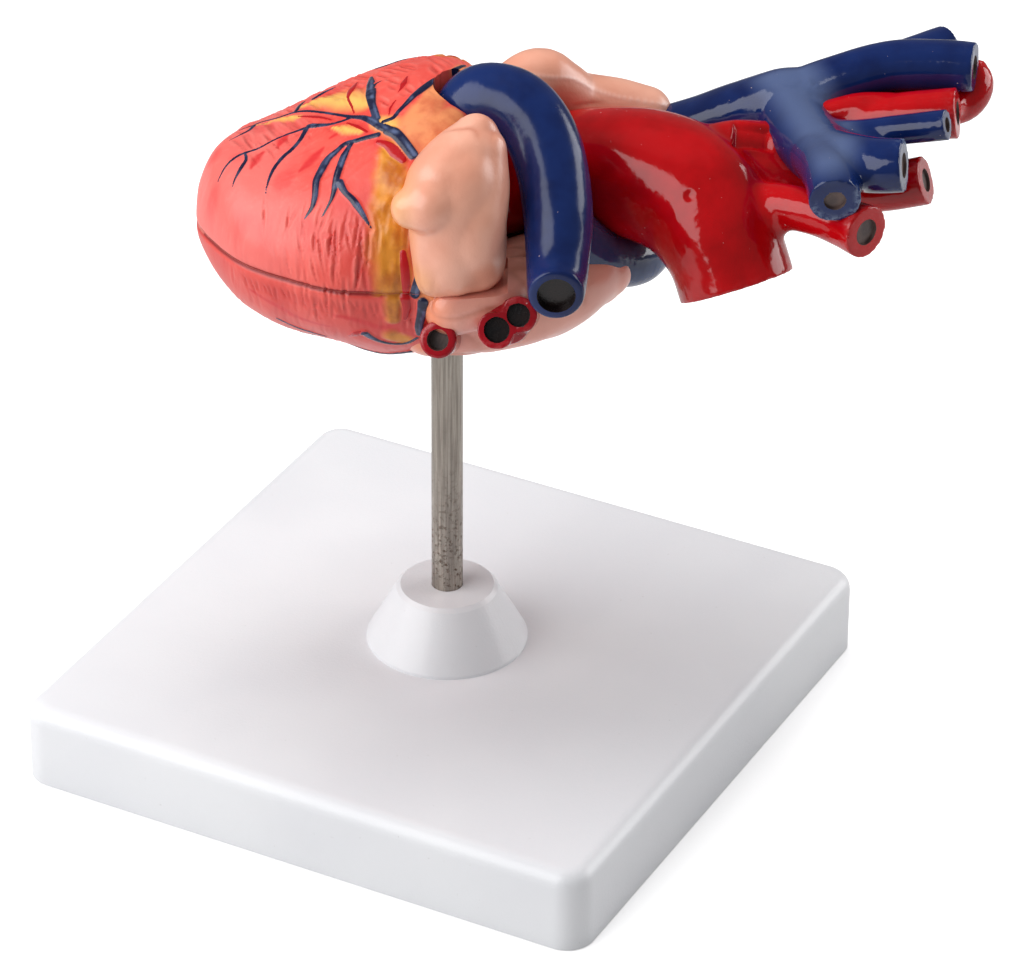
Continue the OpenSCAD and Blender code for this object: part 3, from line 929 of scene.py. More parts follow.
@dataclass(frozen=True)
class Gloss:
    """Thick glossy paint on a casting, brushed on by hand."""

    name: str
    colour: tuple[float, float, float, float]
    deep: tuple[float, float, float, float]
    worn: tuple[float, float, float, float]
    rough: float = 0.09
    shine: float = 0.46
    wave: float = 0.0002

    def make(self) -> bpy.types.Material:
        """Makes the paint: pooled colour, brush waves, dust specks, worn rims and a painted sheen where
        one is marked.

        Returns:
            The material.
        """
        g = Graph(self.name)
        pool = g.noise(0.014, 3, 0.6).between(0.35, 0.7)
        base = g.mix(pool, self.colour, self.deep)
        scuff = g.noise(0.0016, 4, 0.7).between(0.42, 0.60) * g.kept("worn")
        base = g.mix(scuff, base, self.worn)
        # Painted sheen: a pale slate wash where a reflection falls.
        base = g.mix(g.kept("painted_sheen") * 0.72, base, srgb(96, 112, 150))
        speck = g.noise(0.0008, 1, 0.4).between(0.80, 0.83)
        base = g.mix(speck * 0.7, base, srgb(235, 205, 205))
        waves = g.noise(0.006, 2, 0.5) + g.noise(0.0012, 2, 0.5) * 0.10 + speck * 0.2 - scuff * 0.1
        return g.surface(
            Base_Color=base,
            Roughness=self.rough + g.noise(0.004, 3, 0.6).between(0.4, 0.8) * 0.06 + scuff * 0.25,
            Specular_IOR_Level=self.shine,
            Normal=g.bump(waves, self.wave),
        )


@dataclass(frozen=True)
class Satin:
    """Soft satin paint over a flesh-coloured casting."""

    name: str
    light: tuple[float, float, float, float]
    shade: tuple[float, float, float, float]
    tint: tuple[float, float, float, float]
    rough: float = 0.33

    def make(self) -> bpy.types.Material:
        """Makes the paint: cloudy flesh tones, an airbrushed tint, painted shade in the pressed creases, a
        painted highlight along a raised bead and a mould's fine grain.

        Returns:
            The material.
        """
        g = Graph(self.name)
        cloud = g.noise(0.018, 3, 0.55).between(0.3, 0.72)
        base = g.mix(cloud, self.light, self.shade)
        base = g.mix(g.kept("tint"), base, self.tint)
        # Painted shade: a darker brown in the pressed creases.
        base = g.mix(g.kept("painted_crease_shade") * 0.7, base, srgb(196, 112, 84))
        # Painted highlight: a pale line along the raised bead or lips.
        base = g.mix(g.kept("painted_ridge_highlight") * 0.55, base, srgb(252, 204, 188))
        grain = g.noise(0.0035, 4, 0.6) + g.noise(0.0007, 2, 0.5) * 0.15
        return g.surface(
            Base_Color=base,
            Roughness=self.rough + g.noise(0.006, 3, 0.6) * 0.08,
            Coat_Weight=0.7,
            Coat_Roughness=0.28,
            Normal=g.bump(grain, 0.00016),
        )


@dataclass(frozen=True)
class Muscle:
    """The ventricles' paint: salmon muscle, yellow fat, blue and red coronary vessels, with painted
    highlights and painted shade.
    """

    name: str = "ventricle_paint"
    # The layers over the muscle: a painted highlight on the upper side towards the apex, painted shade on
    # the near side by the base, a red blush, painted shade in the carved grooves and along the parting
    # line, and a painted highlight on the raised lips beside the grooves.
    layers: tuple[tuple[str, float, tuple[float, float, float, float]], ...] = (
        ("painted_apex_highlight", 0.5, srgb(242, 128, 122)),
        ("painted_side_shade", 0.8, srgb(204, 48, 44)),
        ("blush", 0.85, srgb(212, 30, 38)),
        ("painted_groove_shade", 0.8, srgb(160, 28, 30)),
        ("painted_ridge_highlight", 0.4, srgb(250, 146, 134)),
    )

    def make(self) -> bpy.types.Material:
        """Makes the paint from the values kept on the carved skin.

        Returns:
            The material.
        """
        g = Graph(self.name)
        cloud = g.noise(0.013, 3, 0.55).between(0.3, 0.75)
        base = g.mix(cloud, srgb(240, 92, 80), srgb(226, 72, 62))
        streak = g.noise(0.0022, 3, 0.6, stretch=(0.7, 0.7, 4)).between(0.5, 0.78)
        base = g.mix(streak * 0.2, base, srgb(250, 146, 132))
        for mark, share, colour in self.layers:
            base = g.mix(g.kept(mark) * share, base, colour)
        # Painted shade: a dark red along the parting line between the two castings.
        base = g.mix(g.kept("seam").between(0.25, 0.75) * 0.85, base, srgb(138, 14, 18))
        tone = g.noise(0.006, 3, 0.6).between(0.35, 0.7)
        rich = g.mix(tone, srgb(222, 142, 40), srgb(186, 98, 20))
        yellow = g.mix(g.kept("rich"), srgb(250, 190, 98), rich)
        fat = g.kept("fat")
        base = g.mix(fat, base, yellow)
        # Painted shade in the grooves that cross the fat.
        base = g.mix(fat * g.kept("painted_groove_shade") * 0.5, base, srgb(150, 78, 22))
        base = g.mix(g.kept("flesh"), base, g.mix(tone, srgb(236, 146, 94), srgb(212, 110, 70)))
        red = g.kept("red").between(0.35, 0.62)
        base = g.mix(red, base, srgb(180, 10, 20))
        worn = g.noise(0.0035, 2, 0.5).between(0.50, 0.62)
        pale = g.kept("flank") * g.noise(0.007, 2, 0.5).between(0.42, 0.56)
        navy = g.mix((worn * 0.25 + pale).clamp(), srgb(22, 26, 58), srgb(92, 106, 142))
        blue = g.kept("blue").between(0.35, 0.60)
        base = g.mix(blue, base, navy)
        grain = g.noise(0.003, 3, 0.5, stretch=(1, 1, 2)) + g.noise(0.0006, 2, 0.5) * 0.1
        return g.surface(
            Base_Color=base,
            Roughness=0.36 + g.noise(0.004, 3, 0.6) * 0.06 - (blue + red).clamp() * 0.16,
            Coat_Weight=0.16,
            Coat_Roughness=0.3,
            Normal=g.bump(grain, 0.00014),
        )


@dataclass(frozen=True)
class Plain:
    """A finish of one tone with slight mottling and grain."""

    name: str
    light: tuple[float, float, float, float]
    dark: tuple[float, float, float, float]
    blotch: float = 0.004
    rough: float = 0.4
    coat: float = 0.0
    metal: float = 0.0
    grain: float = 0.00008

    def make(self) -> bpy.types.Material:
        """Makes the finish.

        Returns:
            The material.
        """
        g = Graph(self.name)
        base = g.mix(g.noise(self.blotch, 4, 0.6).between(0.3, 0.72), self.light, self.dark)
        fine = g.noise(self.blotch / 4, 3, 0.6)
        return g.surface(
            Base_Color=base,
            Roughness=self.rough + (fine - 0.5) * 0.1,
            Metallic=self.metal,
            Coat_Weight=self.coat,
            Coat_Roughness=0.1,
            Normal=g.bump(fine, self.grain),
        )


@dataclass(frozen=True)
class RustedRod:
    """A bright steel rod with drawn lines, browned and rust-speckled towards its foot."""

    name: str = "rod_steel"
    foot: float = 0.038
    clean: float = 0.085

    def make(self) -> bpy.types.Material:
        """Makes the steel.

        Returns:
            The material.
        """
        g = Graph(self.name)
        height = g.node("ShaderNodeSeparateXYZ", {}, {0: g.place()})("Z")
        low = 1 - height.between(self.foot, self.clean)
        spots = g.noise(0.0012, 4, 0.75).between(0.50, 0.66)
        rust = (spots * (low * 0.9 + 0.06)).clamp()
        line = g.noise(0.0006, 3, 0.6, stretch=(1, 1, 30))
        steel = g.mix(line.between(0.3, 0.7), srgb(176, 168, 158), srgb(140, 132, 124))
        base = g.mix(rust, steel, srgb(86, 62, 46))
        return g.surface(
            Base_Color=base,
            Metallic=1.0 - rust * 0.8,
            Roughness=0.24 + line * 0.12 + rust * 0.4,
            Normal=g.bump(line + rust * 2, 0.00005),
        )


@dataclass(frozen=True)
class Moulded:
    """White moulded plastic with a satin sheen and faint flow marks."""

    name: str = "base_plastic"

    def make(self) -> bpy.types.Material:
        """Makes the plastic.

        Returns:
            The material.
        """
        g = Graph(self.name)
        cloud = g.noise(0.05, 2, 0.5).between(0.3, 0.7)
        base = g.mix(cloud, srgb(236, 237, 240), srgb(230, 231, 235))
        dust = g.noise(0.0012, 2, 0.5).between(0.76, 0.80)
        base = g.mix(dust * 0.35, base, srgb(180, 178, 174))
        fine = g.noise(0.0008, 3, 0.6) + g.noise(0.03, 2, 0.5) * 4
        return g.surface(
            Base_Color=base,
            Roughness=0.3 + g.noise(0.008, 3, 0.6) * 0.08,
            Coat_Weight=0.15,
            Coat_Roughness=0.2,
            Normal=g.bump(fine, 0.00006),
        )


@dataclass
class Paints:
    """Every finish of the model, made once."""

    made: dict[str, bpy.types.Material] = field(default_factory=dict)

    def get(self, finish: Any) -> bpy.types.Material:
        """Gives a finish's material.

        Args:
            finish: The finish.

        Returns:
            Its material.
        """
        if finish.name not in self.made:
            self.made[finish.name] = finish.make()
        return self.made[finish.name]


PALE_SLATE = srgb(112, 128, 160)
ARTERY = Gloss("artery_paint", srgb(192, 6, 15), srgb(166, 3, 9), srgb(214, 110, 112))
VEIN = Gloss("vein_paint", srgb(18, 40, 96), srgb(13, 30, 80), PALE_SLATE)
TRUNK_BLUE = Gloss("trunk_paint", srgb(20, 42, 98), srgb(14, 31, 80), PALE_SLATE, 0.19, 0.42)
PALE_VEIN = Gloss("pale_vein_paint", srgb(40, 62, 106), srgb(26, 46, 92), PALE_SLATE)
LUNG_VEIN = Gloss("lung_vein_paint", srgb(166, 14, 30), srgb(132, 8, 20), srgb(196, 90, 90))
LUMEN = Plain("lumen_paint", srgb(104, 84, 78), srgb(74, 60, 60), 0.003, 0.42)
# The recessed ends' lumen: dark paint, darkened further as painted shade inside the recesses.
DARK_LUMEN = Plain("lumen_paint_with_painted_shade", srgb(34, 22, 21), srgb(18, 13, 17), 0.003, 0.26)
ATRIUM = Satin("atrium_paint", srgb(248, 182, 156), srgb(234, 158, 130), srgb(248, 182, 90))
LOWER_ATRIUM = Satin("lower_atrium_paint", srgb(246, 172, 152), srgb(234, 154, 136), srgb(240, 132, 74))
LINING = Plain("chamber_paint", srgb(222, 126, 112), srgb(196, 84, 76), 0.006, 0.34, 0.3)
PARTING = Plain("parting_face_paint", srgb(232, 150, 132), srgb(216, 120, 106), 0.006, 0.42)
VALVE = Plain("valve_paint", srgb(236, 220, 176), srgb(222, 196, 140), 0.003, 0.36, 0.3)
NICKEL = Plain("magnet_metal", srgb(206, 204, 200), srgb(180, 178, 176), 0.002, 0.22, 0, 1.0)
FASTENER = Plain("fastener_steel", srgb(150, 148, 146), srgb(120, 118, 116), 0.002, 0.3, 0, 1.0)
UNDERPLATE = Plain("underplate_plastic", srgb(196, 197, 200), srgb(184, 185, 189), 0.01, 0.5)
BUSH = Plain("bush_plastic", srgb(52, 52, 54), srgb(40, 40, 42), 0.003, 0.5)


def vessel_lumen(name: str) -> Plain:
    """Gives the finish inside a casting's open ends: the recessed ends of the pulmonary trunk and the
    upper left lung veins get a darker one, with painted shade.
    """
    dark = ("pulmonary_trunk", "left_superior_pulmonary_veins")
    return DARK_LUMEN if name in dark else LUMEN


# ---------------------------------------------------------------- the ventricles


@dataclass
class VentricleShape:
    """The ventricles' outer form and hollows, in the heart's frame."""

    apex_x: float = 61.5
    near_w: float = 39.5
    far_w: float = 43.0
    top: float = 38.0
    bottom: float = 32.0
    base_x: float = 10.0
    middle_y: float = 3.0
    lv_wall: float = 9.0
    rv_wall: float = 6.0
    apex_wall: float = 7.0
    least: float = 0.3
    rows: Rows = (
        (-1.000, 0.00, 0.00, 0.00, 0.00),
        (-0.990, 0.17, 0.16, 0.21, 0.18),
        (-0.930, 0.38, 0.35, 0.42, 0.41),
        (-0.830, 0.61, 0.58, 0.52, 0.61),
        (-0.725, 0.75, 0.72, 0.56, 0.74),
        (-0.625, 0.84, 0.82, 0.62, 0.82),
        (-0.505, 0.94, 0.92, 0.71, 0.85),
        (-0.390, 0.99, 0.98, 0.80, 0.91),
        (-0.270, 1.00, 1.00, 0.89, 0.99),
        (-0.150, 1.00, 1.00, 0.97, 1.00),
        (-0.030, 1.00, 1.00, 1.00, 0.97),
        (0.075, 0.96, 0.96, 0.96, 0.92),
        (0.165, 0.84, 0.84, 0.82, 0.82),
    )

    def __post_init__(self) -> None:
        """Works out the sections along the length."""
        dense = curve(self.rows, 8)
        size = np.array([self.near_w, self.far_w, self.top, self.bottom])
        sizes = np.maximum(dense[:, 1:] * size, self.least)
        self.table = np.column_stack([self.along(dense[:, 0]), sizes])

    def along(self, share: np.ndarray) -> np.ndarray:
        """Turns shares of the length, below 0 towards the apex, into places."""
        return np.where(share < 0, share * self.apex_x, share * self.base_x / self.rows[-1][0])

    def sections(self, x: np.ndarray) -> np.ndarray:
        """Gives the near, far, upper and lower half sizes at places along the length.

        Args:
            x: The places.

        Returns:
            A row of four sizes for each place.
        """
        return np.stack([np.interp(x, self.table[:, 0], self.table[:, k]) for k in (1, 2, 3, 4)], 1)

    def share(self, points: np.ndarray) -> np.ndarray:
        """Says how far out points lie: 1 on the skin, 0 on the middle line.

        Args:
            points: The points.

        Returns:
            A share for each point, over 1 outside.
        """
        size = self.sections(points[:, 0])
        y, z = points[:, 1] - self.middle_y, points[:, 2]
        wide = np.where(y > 0, size[:, 1], size[:, 0])
        tall = np.where(z > 0, size[:, 2], size[:, 3])
        out = np.hypot(y / wide, z / tall)
        beyond = (points[:, 0] < -self.apex_x) | (points[:, 0] > self.base_x)
        return np.where(beyond, 9.0, out)

    def inside(self, point: np.ndarray) -> bool:
        """Says whether a point is inside the skin."""
        return bool(self.share(point[None])[0] < 1)

    def at(self, x: np.ndarray | float, angle: np.ndarray | float) -> np.ndarray:
        """Gives points on the skin.

        Args:
            x: Places along the length.
            angle: Angles round it, in degrees: 0 far, 90 up, 180 near and 270 down.

        Returns:
            The points.
        """
        x, angle = np.broadcast_arrays(np.atleast_1d(np.array(x, float)), np.radians(angle))
        size = self.sections(x)
        c, s = np.cos(angle), np.sin(angle)
        y = self.middle_y + c * np.where(c > 0, size[:, 1], size[:, 0])
        return np.stack([x, y, s * np.where(s > 0, size[:, 2], size[:, 3])], 1)

    def outer(self, sides: int = 160) -> list[np.ndarray]:
        """Gives the outer skin's rings.

        Args:
            sides: The points in a ring.

        Returns:
            The rings, from the apex to the base.
        """
        angle = np.linspace(0, 360, sides, endpoint=False)
        return [self.at(np.full(sides, x), angle) for x in self.table[:, 0]]

    def hollow(self, base: float, sides: int = 96) -> list[np.ndarray]:
        """Gives the rings of the chambers' hollow.

        Args:
            base: Where its flat end lies.
            sides: The points in a ring.

        Returns:
            The rings.
        """
        wall = np.array([self.lv_wall, self.rv_wall, *[(self.lv_wall + self.rv_wall) / 2] * 2])
        shrink = 1 - self.apex_wall / (self.apex_x + base)
        angle = np.radians(np.linspace(0, 360, sides, endpoint=False))
        c, s = np.cos(angle), np.sin(angle)
        rings = []
        places = [x for x in self.table[:, 0] if -0.93 * self.apex_x < x < base - 1]
        for x in [*places, base]:
            size = np.maximum(self.sections(np.array([min(x, places[-1])]))[0] - wall, self.least)
            y = self.middle_y + c * np.where(c > 0, size[1], size[0])
            z = s * np.where(s > 0, size[2], size[3])
            rings.append(np.stack([np.full(sides, base + (x - base) * shrink), y, z], 1))
        return rings


# Coronary vessels as the photograph shows them: pixels along each, and its half widths from one
# end to the other in millimetres.
Seen = tuple[tuple[Sequence[Pixel], Sequence[float]], ...]
VEINS_SEEN: Seen = (
    (((413, 155), (397, 135), (387, 130), (373, 122), (363, 118), (350, 117), (332, 114), (317, 112),
      (305, 112), (293, 114), (280, 118), (262, 122), (252, 126), (240, 130), (228, 136), (222, 141)),
     (1.2, 1.3, 0.85, 0.4, 0.38, 0.42, 0.35, 0.25)),
    (((378, 135), (370, 137), (357, 141), (345, 145), (337, 152), (328, 160), (322, 170), (317, 180),
      (316, 188), (315, 198), (312, 208), (305, 218)), (0.7, 0.65, 0.65, 1.1, 0.9, 0.7, 0.2)),
    (((353, 143), (348, 150), (343, 160), (340, 168), (337, 177), (335, 187), (332, 198), (327, 208),
      (322, 217)), (0.4, 0.9, 0.9, 0.75, 0.35, 0.15)),
    (((340, 183), (345, 192), (353, 200), (360, 210), (365, 218), (371, 228)),
     (0.9, 0.65, 0.8, 0.55, 0.12)),
    (((352, 118), (340, 122), (328, 125), (317, 126), (308, 127), (305, 132), (300, 140), (293, 148),
      (283, 157), (275, 167), (270, 177), (267, 187), (266, 194)),
     (0.35, 0.4, 0.85, 0.55, 0.6, 0.4, 0.12)),
    (((306, 128), (297, 131), (283, 136), (270, 142), (257, 149), (245, 153), (235, 158), (227, 165),
      (222, 173), (218, 182)), (0.5, 0.32, 0.32, 0.4, 0.15)),
    (((245, 153), (246, 160), (240, 170), (235, 180), (233, 187)), (0.3, 0.5, 0.12)),
    (((254, 126), (248, 131), (238, 136), (228, 141)), (0.5, 0.4, 0.1)),
    (((377, 119), (374, 110), (372, 103), (371, 93), (371, 85), (371, 77)), (0.9, 0.9, 1.3, 1.1, 0.4)),
    (((371, 90), (375, 84), (382, 80)), (0.9, 0.5, 0.15)),
    (((383, 122), (393, 118), (398, 112), (407, 103), (415, 95), (423, 89), (433, 82), (440, 78),
      (452, 72), (465, 66)), (0.5, 0.6, 1.05, 0.85, 0.6, 0.35)),
    (((297, 112), (300, 107), (305, 102)), (0.6, 0.6, 0.3)),
    (((314, 100), (324, 94), (335, 88)), (0.6, 0.8, 0.3)),
    (((417, 255), (418, 267), (418, 278), (416, 287), (415, 294)), (0.3, 0.8, 1.1)),
    (((423, 302), (422, 312), (419, 325), (420, 333)), (1.2, 1.0, 0.8)),
    (((365, 332), (373, 337), (383, 341), (395, 343), (407, 342), (417, 337)), (0.9, 0.6, 0.5, 0.4)),
    (((277, 318), (293, 325), (310, 331), (326, 336)), (0.3, 0.5, 0.3)),
)
ARTERIES_SEEN: Seen = (
    (((378, 142), (387, 145), (395, 152), (403, 160)), (0.5, 1.0, 1.4, 0.9)),
    (((357, 82), (350, 92), (348, 98), (352, 107), (354, 113)), (0.2, 1.0, 0.3, 0.3, 0.2)),
    (((407, 76), (402, 86), (398, 91)), (0.2, 0.8, 0.15)),
    (((395, 100), (390, 108), (389, 115)), (0.2, 0.3, 0.15)),
    (((298, 117), (317, 117), (332, 120)), (0.2, 0.4, 0.2)),
    (((347, 123), (358, 127), (367, 132)), (0.2, 0.4, 0.3)),
    (((403, 253), (405, 270), (406, 285), (406, 292)), (0.7, 1.0, 1.0, 0.8)),
    (((405, 298), (407, 308), (405, 318)), (1.1, 0.9, 0.4)),
    (((350, 335), (358, 332), (366, 330)), (0.3, 0.9, 0.3)),
)
SOFT_REDS_SEEN: Seen = (
    (((323, 148), (318, 153), (309, 162), (299, 171)), (0.5, 1.5, 1.4, 0.4)),
    (((288, 134), (283, 139), (277, 147)), (0.5, 1.6, 0.4)),
    (((263, 152), (257, 158), (251, 168)), (0.5, 1.4, 0.4)),
    (((352, 128), (340, 132), (330, 138)), (0.5, 1.0, 0.4)),
    (((335, 315), (350, 318), (367, 323), (382, 327), (398, 322)), (0.6, 0.9, 0.9, 0.5)),
    (((250, 290), (275, 305), (300, 318), (330, 326)), (0.5, 0.9, 0.4)),
)
RICH_FAT_SEEN: Seen = (
    (((391, 150), (390, 175), (391, 205), (392, 250), (393, 291)), (3.6, 4.8, 4.9, 4.9, 4.6)),
    (((394, 300), (394, 318)), (2.4, 1.8)),
    (((392, 334), (404, 339)), (2.2, 2.6)),
)
PALE_FAT_SEEN: Seen = (
    (((303, 107), (320, 101), (346, 100), (364, 104)), (1.2, 3.4, 3.8, 2.4)),
    (((298, 118), (275, 121), (257, 125)), (0.9, 1.0, 0.4)),
    (((360, 132), (346, 130), (333, 128)), (0.8, 1.3, 0.5)),
    (((378, 122), (388, 125), (399, 132), (412, 140)), (1.8, 2.8, 3.2, 3.4)),
)
FLESH_SEEN: Seen = (
    (((412, 142), (418, 122), (428, 106), (437, 92), (450, 78), (465, 68)), (4.2, 4.6, 3.2, 1.9, 1.6)),
    (((440, 135), (452, 120)), (4.0, 4.0)),
    (((425, 232), (428, 262), (430, 292)), (2.0, 2.8, 3.4)),
)
STROKES_SEEN: Seen = (
    (((265, 197), (264, 215), (265, 247)), (0.20, 0.32, 0.20)),
    (((290, 205), (287, 225), (288, 240)), (0.20, 0.32, 0.20)),
    (((297, 225), (300, 250), (303, 268)), (0.20, 0.34, 0.20)),
    (((307, 200), (303, 222), (306, 245)), (0.20, 0.36, 0.20)),
    (((318, 225), (320, 250), (326, 280)), (0.20, 0.36, 0.20)),
    (((330, 235), (334, 260), (340, 285)), (0.20, 0.36, 0.20)),
    (((285, 255), (288, 268), (292, 280)), (0.18, 0.30, 0.18)),
    (((345, 215), (347, 235), (352, 255)), (0.20, 0.36, 0.20)),
    (((357, 225), (362, 245), (368, 262)), (0.20, 0.34, 0.20)),
    (((310, 255), (314, 272), (318, 284)), (0.18, 0.32, 0.18)),
)
# Vessels on the sides that the photograph doesn't show: places along the length, as shares
# of the apex's, with the angle round it.
Hidden = tuple[tuple[Rows, Sequence[float]], ...]
VEINS_BEHIND: Hidden = (
    (((-0.04, 262), (-0.2, 268), (-0.4, 274), (-0.62, 280), (-0.84, 292)), (1.5, 1.1, 0.3)),
    (((-0.22, 268), (-0.34, 252), (-0.46, 240), (-0.58, 232)), (0.9, 0.7, 0.2)),
    (((-0.14, 224), (-0.24, 232), (-0.38, 240), (-0.52, 245)), (0.8, 0.7, 0.2)),
    (((-0.3, 271), (-0.44, 290), (-0.58, 304)), (0.8, 0.6, 0.2)),
    (((-0.02, 10), (-0.2, 14), (-0.42, 12), (-0.66, 4)), (1.0, 0.8, 0.2)),
    (((-0.02, 46), (-0.16, 52), (-0.34, 50), (-0.5, 42)), (0.9, 0.7, 0.2)),
)
ARTERIES_BEHIND: Hidden = (
    (((0.02, 255), (-0.2, 262), (-0.42, 269), (-0.66, 275), (-0.88, 288)), (1.3, 0.9, 0.3)),
    (((0.02, 60), (0.03, 30), (0.02, 0), (0.01, -30), (0.02, -60), (0.02, -84)), (1.4, 1.3)),
    (((0.0, -20), (-0.2, -14), (-0.45, -12), (-0.7, -10)), (1.0, 0.8, 0.2)),
    (((0.0, 30), (-0.15, 34), (-0.34, 32)), (0.8, 0.6, 0.2)),
    (((-0.02, 224), (-0.03, 236), (0.0, 250)), (1.1, 0.9)),
    (((-0.38, 268), (-0.5, 258), (-0.62, 252)), (0.7, 0.6, 0.2)),
)
FAT_BEHIND: Hidden = (
    (((0.0, 58), (0.02, 30), (0.02, 0), (0.0, -30), (0.0, -84)), (4.5, 4.0)),
    (((0, 258), (-0.3, 268), (-0.62, 276), (-0.86, 288)), (3.4, 1.4)),
)


@dataclass
class Ventricles:
    """The two castings of the ventricles, carved and painted."""

    frame: HeartFrame
    photo: Photograph
    paints: Paints
    shape: VentricleShape = field(default_factory=VentricleShape)
    voxel: float = 0.42
    seam_gap: float = 0.12
    block_near_y: float = -23.0
    rear_base_x: float = -9.0
    front_end_x: float = 5.0
    bay_x: float = 6.0
    bay_r: float = 9.35
    end_gap: float = 0.1
    bay_z: float = 25.0
    magnet_d: float = 4.0
    magnet_h: float = 4.0
    magnet_play: float = 0.05
    strokes: int = 640
    stroke_widths: tuple[float, ...] = (0.34, 0.50, 0.28)
    stroke_ends: tuple[float, float] = (-60.5, 9)
    front_side: tuple[float, float] = (95, 182)
    under_side: float = 262
    seen_strength: float = 0.5
    comb: tuple[float, float, float] = (-49, -13, 1.55)
    comb_start: float = 183.5
    comb_widths: tuple[float, ...] = (0.62, 0.55)
    reach: float = 130.0
    flank: tuple[float, float, float] = (0.5, 0.0, -0.2)

    # -- where the vessels and strokes run

    def seen(self, pixels: Iterable[Pixel]) -> np.ndarray:
        """Lays a path of pixels on the skin.

        Args:
            pixels: The pixels.

        Returns:
            The path in the heart's frame.
        """
        found = [self.photo.onto(p, self.shape.inside) for p in pixels]
        kept = np.array([p for p in found if p is not None])
        return curve(kept, 6)

    def behind(self, rows: Rows) -> np.ndarray:
        """Lays a path of places and angles on the skin.

        Args:
            rows: Shares of the length and angles.

        Returns:
            The path in the heart's frame.
        """
        path = curve(rows, 8)
        return self.shape.at(self.shape.along(path[:, 0]), path[:, 1])

    def lay(self, seen: Seen, behind: Hidden = (), step: float = 0.3) -> Trail:
        """Lays a set of strokes on the skin.

        Args:
            seen: Those that the photograph shows.
            behind: Those on the other sides.
            step: The spacing of their points.

        Returns:
            Their trail.
        """
        trail = Trail()
        for pixels, widths in seen:
            trail.stroke(self.seen(pixels), widths, step=step)
        for rows, widths in behind:
            trail.stroke(self.behind(rows), widths, step=step)
        return trail

    def grooves(self) -> Trail:
        """Lays the muscle's long strokes, mostly from the vessels down to the parting line."""
        draw = np.random.default_rng(7)
        trail = Trail()
        for _ in range(self.strokes):
            x = draw.uniform(-54, 6)
            angle = draw.uniform(0, 360)
            size = self.shape.sections(np.array([x]))[0]
            radius = (size[0] + size[2]) / 2
            length = draw.uniform(4, 12)
            strong = draw.uniform(0.35, 1.0)
            down = 1.0
            slope = draw.uniform(-0.10, 0.10)
            if self.front_side[0] < angle < self.front_side[1]:
                down = float(ramp(np.array([angle]), 108, 152)[0]) * 0.9 + 0.1
                slope -= 1.0 - down
                length *= 1.3
                strong *= 0.10 + 0.90 * float(ramp(np.array([x]), -44, -26)[0])
                strong *= 0.15 + 0.85 * float(ramp(np.array([angle]), 118, 150)[0])
            elif angle <= self.front_side[0]:
                slope += 0.55
            elif angle < self.under_side:
                strong *= 0.22
            else:
                slope += 0.35 * math.sin(math.radians(angle * 2))
            t = np.linspace(0, 1, 6)
            turn = angle + np.degrees(length * down * t / max(radius, 8))
            bend = draw.uniform(-0.6, 0.6) * np.sin(math.pi * t)
            place = np.clip(x + slope * length * t + bend, *self.stroke_ends)
            trail.stroke(self.shape.at(place, turn), self.stroke_widths, strong, True)
        for pixels, widths in STROKES_SEEN:
            trail.stroke(self.seen(pixels), widths, self.seen_strength, True)
        for k, x in enumerate(np.arange(*self.comb)):
            start = self.comb_start + 4 * ramp(np.array([-x]), 30, 50)[0]
            turn = np.linspace(start, start + 9 + 2.5 * math.sin(k * 1.7), 5)
            lean = np.linspace(0, 1.0 + 0.5 * math.sin(k * 2.3), 5)
            place = np.full(5, x) + lean
            trail.stroke(self.shape.at(place, turn), self.comb_widths, self.seen_strength, True)
        return trail

    def skin(self) -> tuple[Form, dict[str, np.ndarray], np.ndarray]:
        """Models the whole outer skin and works out its paint.

        Returns:
            The form, the paint's values at its points, and those points before carving.
        """
        form = Form("ventricles").skin(self.shape.outer()).fuse(self.voxel, 6)
        p = form.points()
        lumps, folds = Grain(3), Grain(5)
        angle = np.degrees(np.arctan2(p[:, 2], p[:, 1] - self.shape.middle_y)) % 360

        laid = self.lay(VEINS_SEEN, VEINS_BEHIND)
        veins, flank = laid.read(p), laid.read(p - np.array(self.flank))
        arteries = self.lay(ARTERIES_SEEN, ARTERIES_BEHIND).read(p)
        cuts = self.grooves().read(p)
        soft = self.lay(SOFT_REDS_SEEN).read(p)
        rich = self.lay(RICH_FAT_SEEN, FAT_BEHIND, 1.0).read(p)
        pale = self.lay(PALE_FAT_SEEN, step=1.0).read(p)
        flesh = self.lay(FLESH_SEEN, step=1.0).read(p)

        wavy = 1 + 0.22 * lumps.at(p, 5.0) + 0.08 * folds.at(p, 1.8)
        clear = ramp(veins[0] - veins[1], 0.2, 1.4) * ramp(arteries[0] - arteries[1], 0.2, 1.2)
        blue = np.clip(1.6 - veins[0] / veins[1], 0, 1)
        red = np.clip(1.6 - arteries[0] / arteries[1], 0, 1)
        # How deep the carved grooves run; it also paints shade into them.
        deep = np.exp(-((cuts[0] / cuts[1]) ** 2)) * cuts[2] * clear
        # The raised lips beside the grooves, which also carry a painted highlight.
        lip = np.exp(-(((cuts[0] - 2.1 * cuts[1]) / cuts[1]) ** 2)) * cuts[2] * clear
        fat_rich = ramp(rich[0] / (rich[1] * wavy), 1.4, 0.45)
        fat_pale = ramp(pale[0] / (pale[1] * wavy), 1.7, 0.1)
        fleshy = ramp(flesh[0] / (flesh[1] * wavy), 1.3, 0.7)
        fleshy = np.maximum(fleshy, ramp(p[:, 0], 3.5, 8.0) * (p[:, 2] > 0))
        fat = np.maximum(fat_rich, fat_pale) * (1 - fleshy * 0.7)
        blush = ramp(soft[0] / soft[1], 1.5, 0.3) + ramp(arteries[0] / arteries[1], 3.0, 1.0) * 0.45
        blush += 0.4 * ramp(lumps.at(p + 9, (6.0, 6.0, 10.0)), 0.2, 0.7) * ramp(angle, 185, 150)
